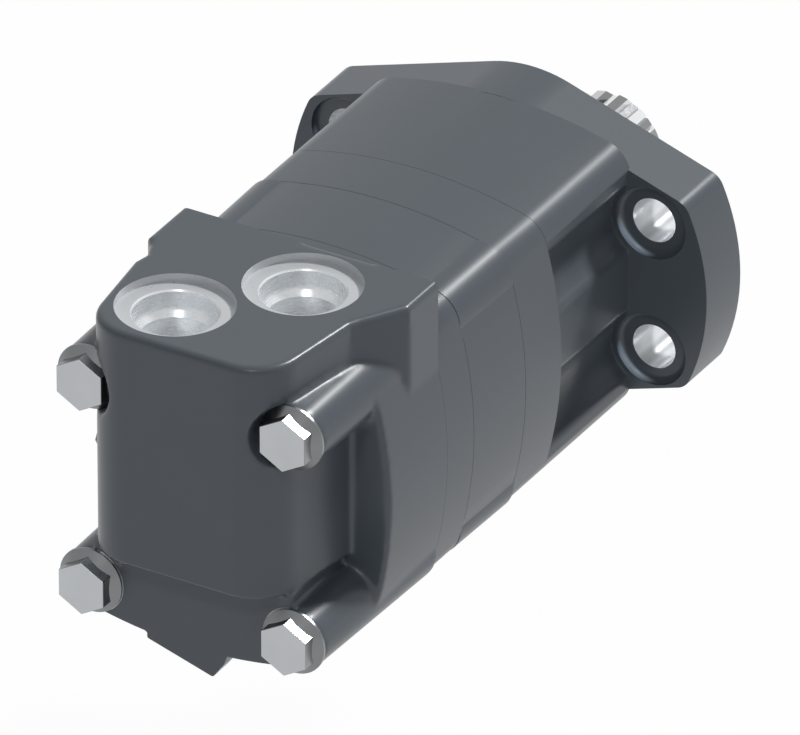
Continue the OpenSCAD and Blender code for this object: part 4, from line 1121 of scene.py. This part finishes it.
class MOTOR_OT_shaft(bpy.types.Operator):
    """Finishes the output shaft with fine bevels on its teeth and shoulders"""

    bl_idname = "motor.shaft"
    bl_label = "Output shaft"

    def execute(self, context):
        obj = object_from(node_bmesh("output_shaft"), "splined_shaft")
        bevel_edges(obj, 0.15 * MM, 40)
        shade(coat(obj, "steel"), 25, 25)
        dressed(obj, "splined_shaft", SHAFT, ["output_shaft"])
        return {"FINISHED"}


class MOTOR_OT_metalwork(bpy.types.Operator):
    """Gives every CAD node its paint, metal or rubber finish"""

    bl_idname = "motor.metalwork"
    bl_label = "Metalwork"

    def execute(self, context):
        by_slot = {
            "cast_paint": "paint", "screw_steel": "screw", "bright_steel": "steel",
            "bearing_steel": "steel", "plug_steel": "screw", "cage_brass": "brass", "rubber": "rubber",
        }
        for part in frame["record"]["subparts"]:
            obj = frame["nodes"][part["node"]]
            material = finishes()[by_slot[part["material_slot"]]]
            for i in range(len(obj.material_slots)):
                obj.material_slots[i].material = material
        return {"FINISHED"}


class MOTOR_OT_stage(bpy.types.Operator):
    """Sets the floor, the lights, the world and the camera"""

    bl_idname = "motor.stage"
    bl_label = "Stage"

    def execute(self, context):
        studio = context.scene.motor_studio
        make_floor(studio)
        make_world(studio)
        make_lights(studio)
        make_camera(studio)
        context.scene.view_settings.view_transform = "Standard"
        return {"FINISHED"}


def make_floor(studio):
    """A pale floor well under the motor. Seen straight on it is white, with the shadow kept."""
    half = 3.0
    level = CAD_BOX[0].z - studio.floor_drop
    bm = bmesh.new()
    ring = ((-half, -half), (half, -half), (half, half), (-half, half))
    bm.faces.new([bm.verts.new((x, y, level)) for x, y in ring])
    floor = object_from(bm, "floor")
    material = bpy.data.materials.new("Pale floor")
    material.use_nodes = True
    tree = material.node_tree
    shader = tree.nodes["Principled BSDF"]
    shader.inputs["Base Color"].default_value = (0.86, 0.86, 0.87, 1.0)
    shader.inputs["Roughness"].default_value = 0.8
    light = tree.nodes.new("ShaderNodeEmission")
    light.inputs["Color"].default_value = (1.0, 1.0, 1.0, 1.0)
    path = tree.nodes.new("ShaderNodeLightPath")
    mix = tree.nodes.new("ShaderNodeMixShader")
    seen = maths(tree, "MAXIMUM", path.outputs["Is Camera Ray"], path.outputs["Is Glossy Ray"])
    wire(tree, maths(tree, "MULTIPLY", seen, 0.97), mix.inputs["Fac"])
    wire(tree, shader.outputs["BSDF"], mix.inputs[1])
    wire(tree, light.outputs[0], mix.inputs[2])
    wire(tree, mix.outputs[0], tree.nodes["Material Output"].inputs["Surface"])
    floor.data.materials.append(material)


def make_world(studio):
    """Even studio light; the camera and mirror-like surfaces see plain white."""
    world = bpy.data.worlds.new("Studio")
    bpy.context.scene.world = world
    world.use_nodes = True
    tree = world.node_tree
    tree.nodes.clear()
    out = tree.nodes.new("ShaderNodeOutputWorld")
    even = tree.nodes.new("ShaderNodeBackground")
    even.inputs["Color"].default_value = (0.86, 0.95, 1.12, 1.0)
    even.inputs["Strength"].default_value = studio.world_level
    white = tree.nodes.new("ShaderNodeBackground")
    white.inputs["Strength"].default_value = 1.0
    path = tree.nodes.new("ShaderNodeLightPath")
    seen = maths(tree, "MAXIMUM", path.outputs["Is Camera Ray"],
                 maths(tree, "MAXIMUM", path.outputs["Is Glossy Ray"], path.outputs["Is Transmission Ray"]))
    mix = tree.nodes.new("ShaderNodeMixShader")
    wire(tree, seen, mix.inputs["Fac"])
    wire(tree, even.outputs[0], mix.inputs[1])
    wire(tree, white.outputs[0], mix.inputs[2])
    wire(tree, mix.outputs[0], out.inputs["Surface"])


def make_lights(studio):
    """A distant key light from the front right, and a weak fill light from the rear."""
    for name, strength, direction in (
        ("key", studio.key_strength, studio.key_from), ("fill", studio.fill_strength, studio.fill_from),
    ):
        data = bpy.data.lights.new(name, "SUN")
        data.energy = strength
        data.angle = studio.key_angle
        lamp = bpy.data.objects.new(name, data)
        bpy.context.collection.objects.link(lamp)
        lamp.rotation_euler = Vector(direction).to_track_quat("Z", "Y").to_euler()


def make_camera(studio):
    """A camera at the photograph's angle with a lens so long that the view is nearly parallel."""
    data = bpy.data.cameras.new("view")
    data.sensor_width = 36.0
    data.lens = studio.lens
    data.clip_end = 500.0
    camera = bpy.data.objects.new("view", data)
    bpy.context.collection.objects.link(camera)
    azimuth, elevation = math.radians(studio.azimuth), math.radians(studio.elevation)
    back = Vector((math.sin(azimuth) * math.cos(elevation), -math.cos(azimuth) * math.cos(elevation),
                   math.sin(elevation)))
    aim = Vector((-73.05, 0.0, -13.1)) * MM
    camera.location = aim + back * (studio.view_width * studio.lens / data.sensor_width)
    turn = back.to_track_quat("Z", "Y") @ Quaternion((0, 0, 1), math.radians(studio.roll))
    camera.rotation_euler = turn.to_euler()
    bpy.context.scene.camera = camera


OPERATORS = (
    MOTOR_OT_metalwork, MOTOR_OT_valve_housing, MOTOR_OT_bearing_housing, MOTOR_OT_slices, MOTOR_OT_screws,
    MOTOR_OT_shaft, MOTOR_OT_stage,
)


class MOTOR_PT_pieces(bpy.types.Panel):
    """Lists the motor's pieces and its stage"""

    bl_label = "Orbital hydraulic motor"
    bl_idname = "MOTOR_PT_pieces"
    bl_space_type = "VIEW_3D"
    bl_region_type = "UI"
    bl_category = "Motor"

    def draw(self, context):
        for operator in OPERATORS:
            self.layout.operator(operator.bl_idname)


CLASSES = (MotorSizes, MotorFinish, MotorStudio, *OPERATORS, MOTOR_PT_pieces)


def register():
    for item in CLASSES:
        bpy.utils.register_class(item)
    bpy.types.Scene.motor_sizes = bpy.props.PointerProperty(type=MotorSizes)
    bpy.types.Scene.motor_finish = bpy.props.PointerProperty(type=MotorFinish)
    bpy.types.Scene.motor_studio = bpy.props.PointerProperty(type=MotorStudio)


def unregister():
    for name in ("motor_sizes", "motor_finish", "motor_studio"):
        delattr(bpy.types.Scene, name)
    for item in reversed(CLASSES):
        bpy.utils.unregister_class(item)


def main():
    """Makes every piece in order."""
    register()
    for operator in OPERATORS:
        group, name = operator.bl_idname.split(".")
        getattr(getattr(bpy.ops, group), name)()


if __name__ == "__main__":
    main()
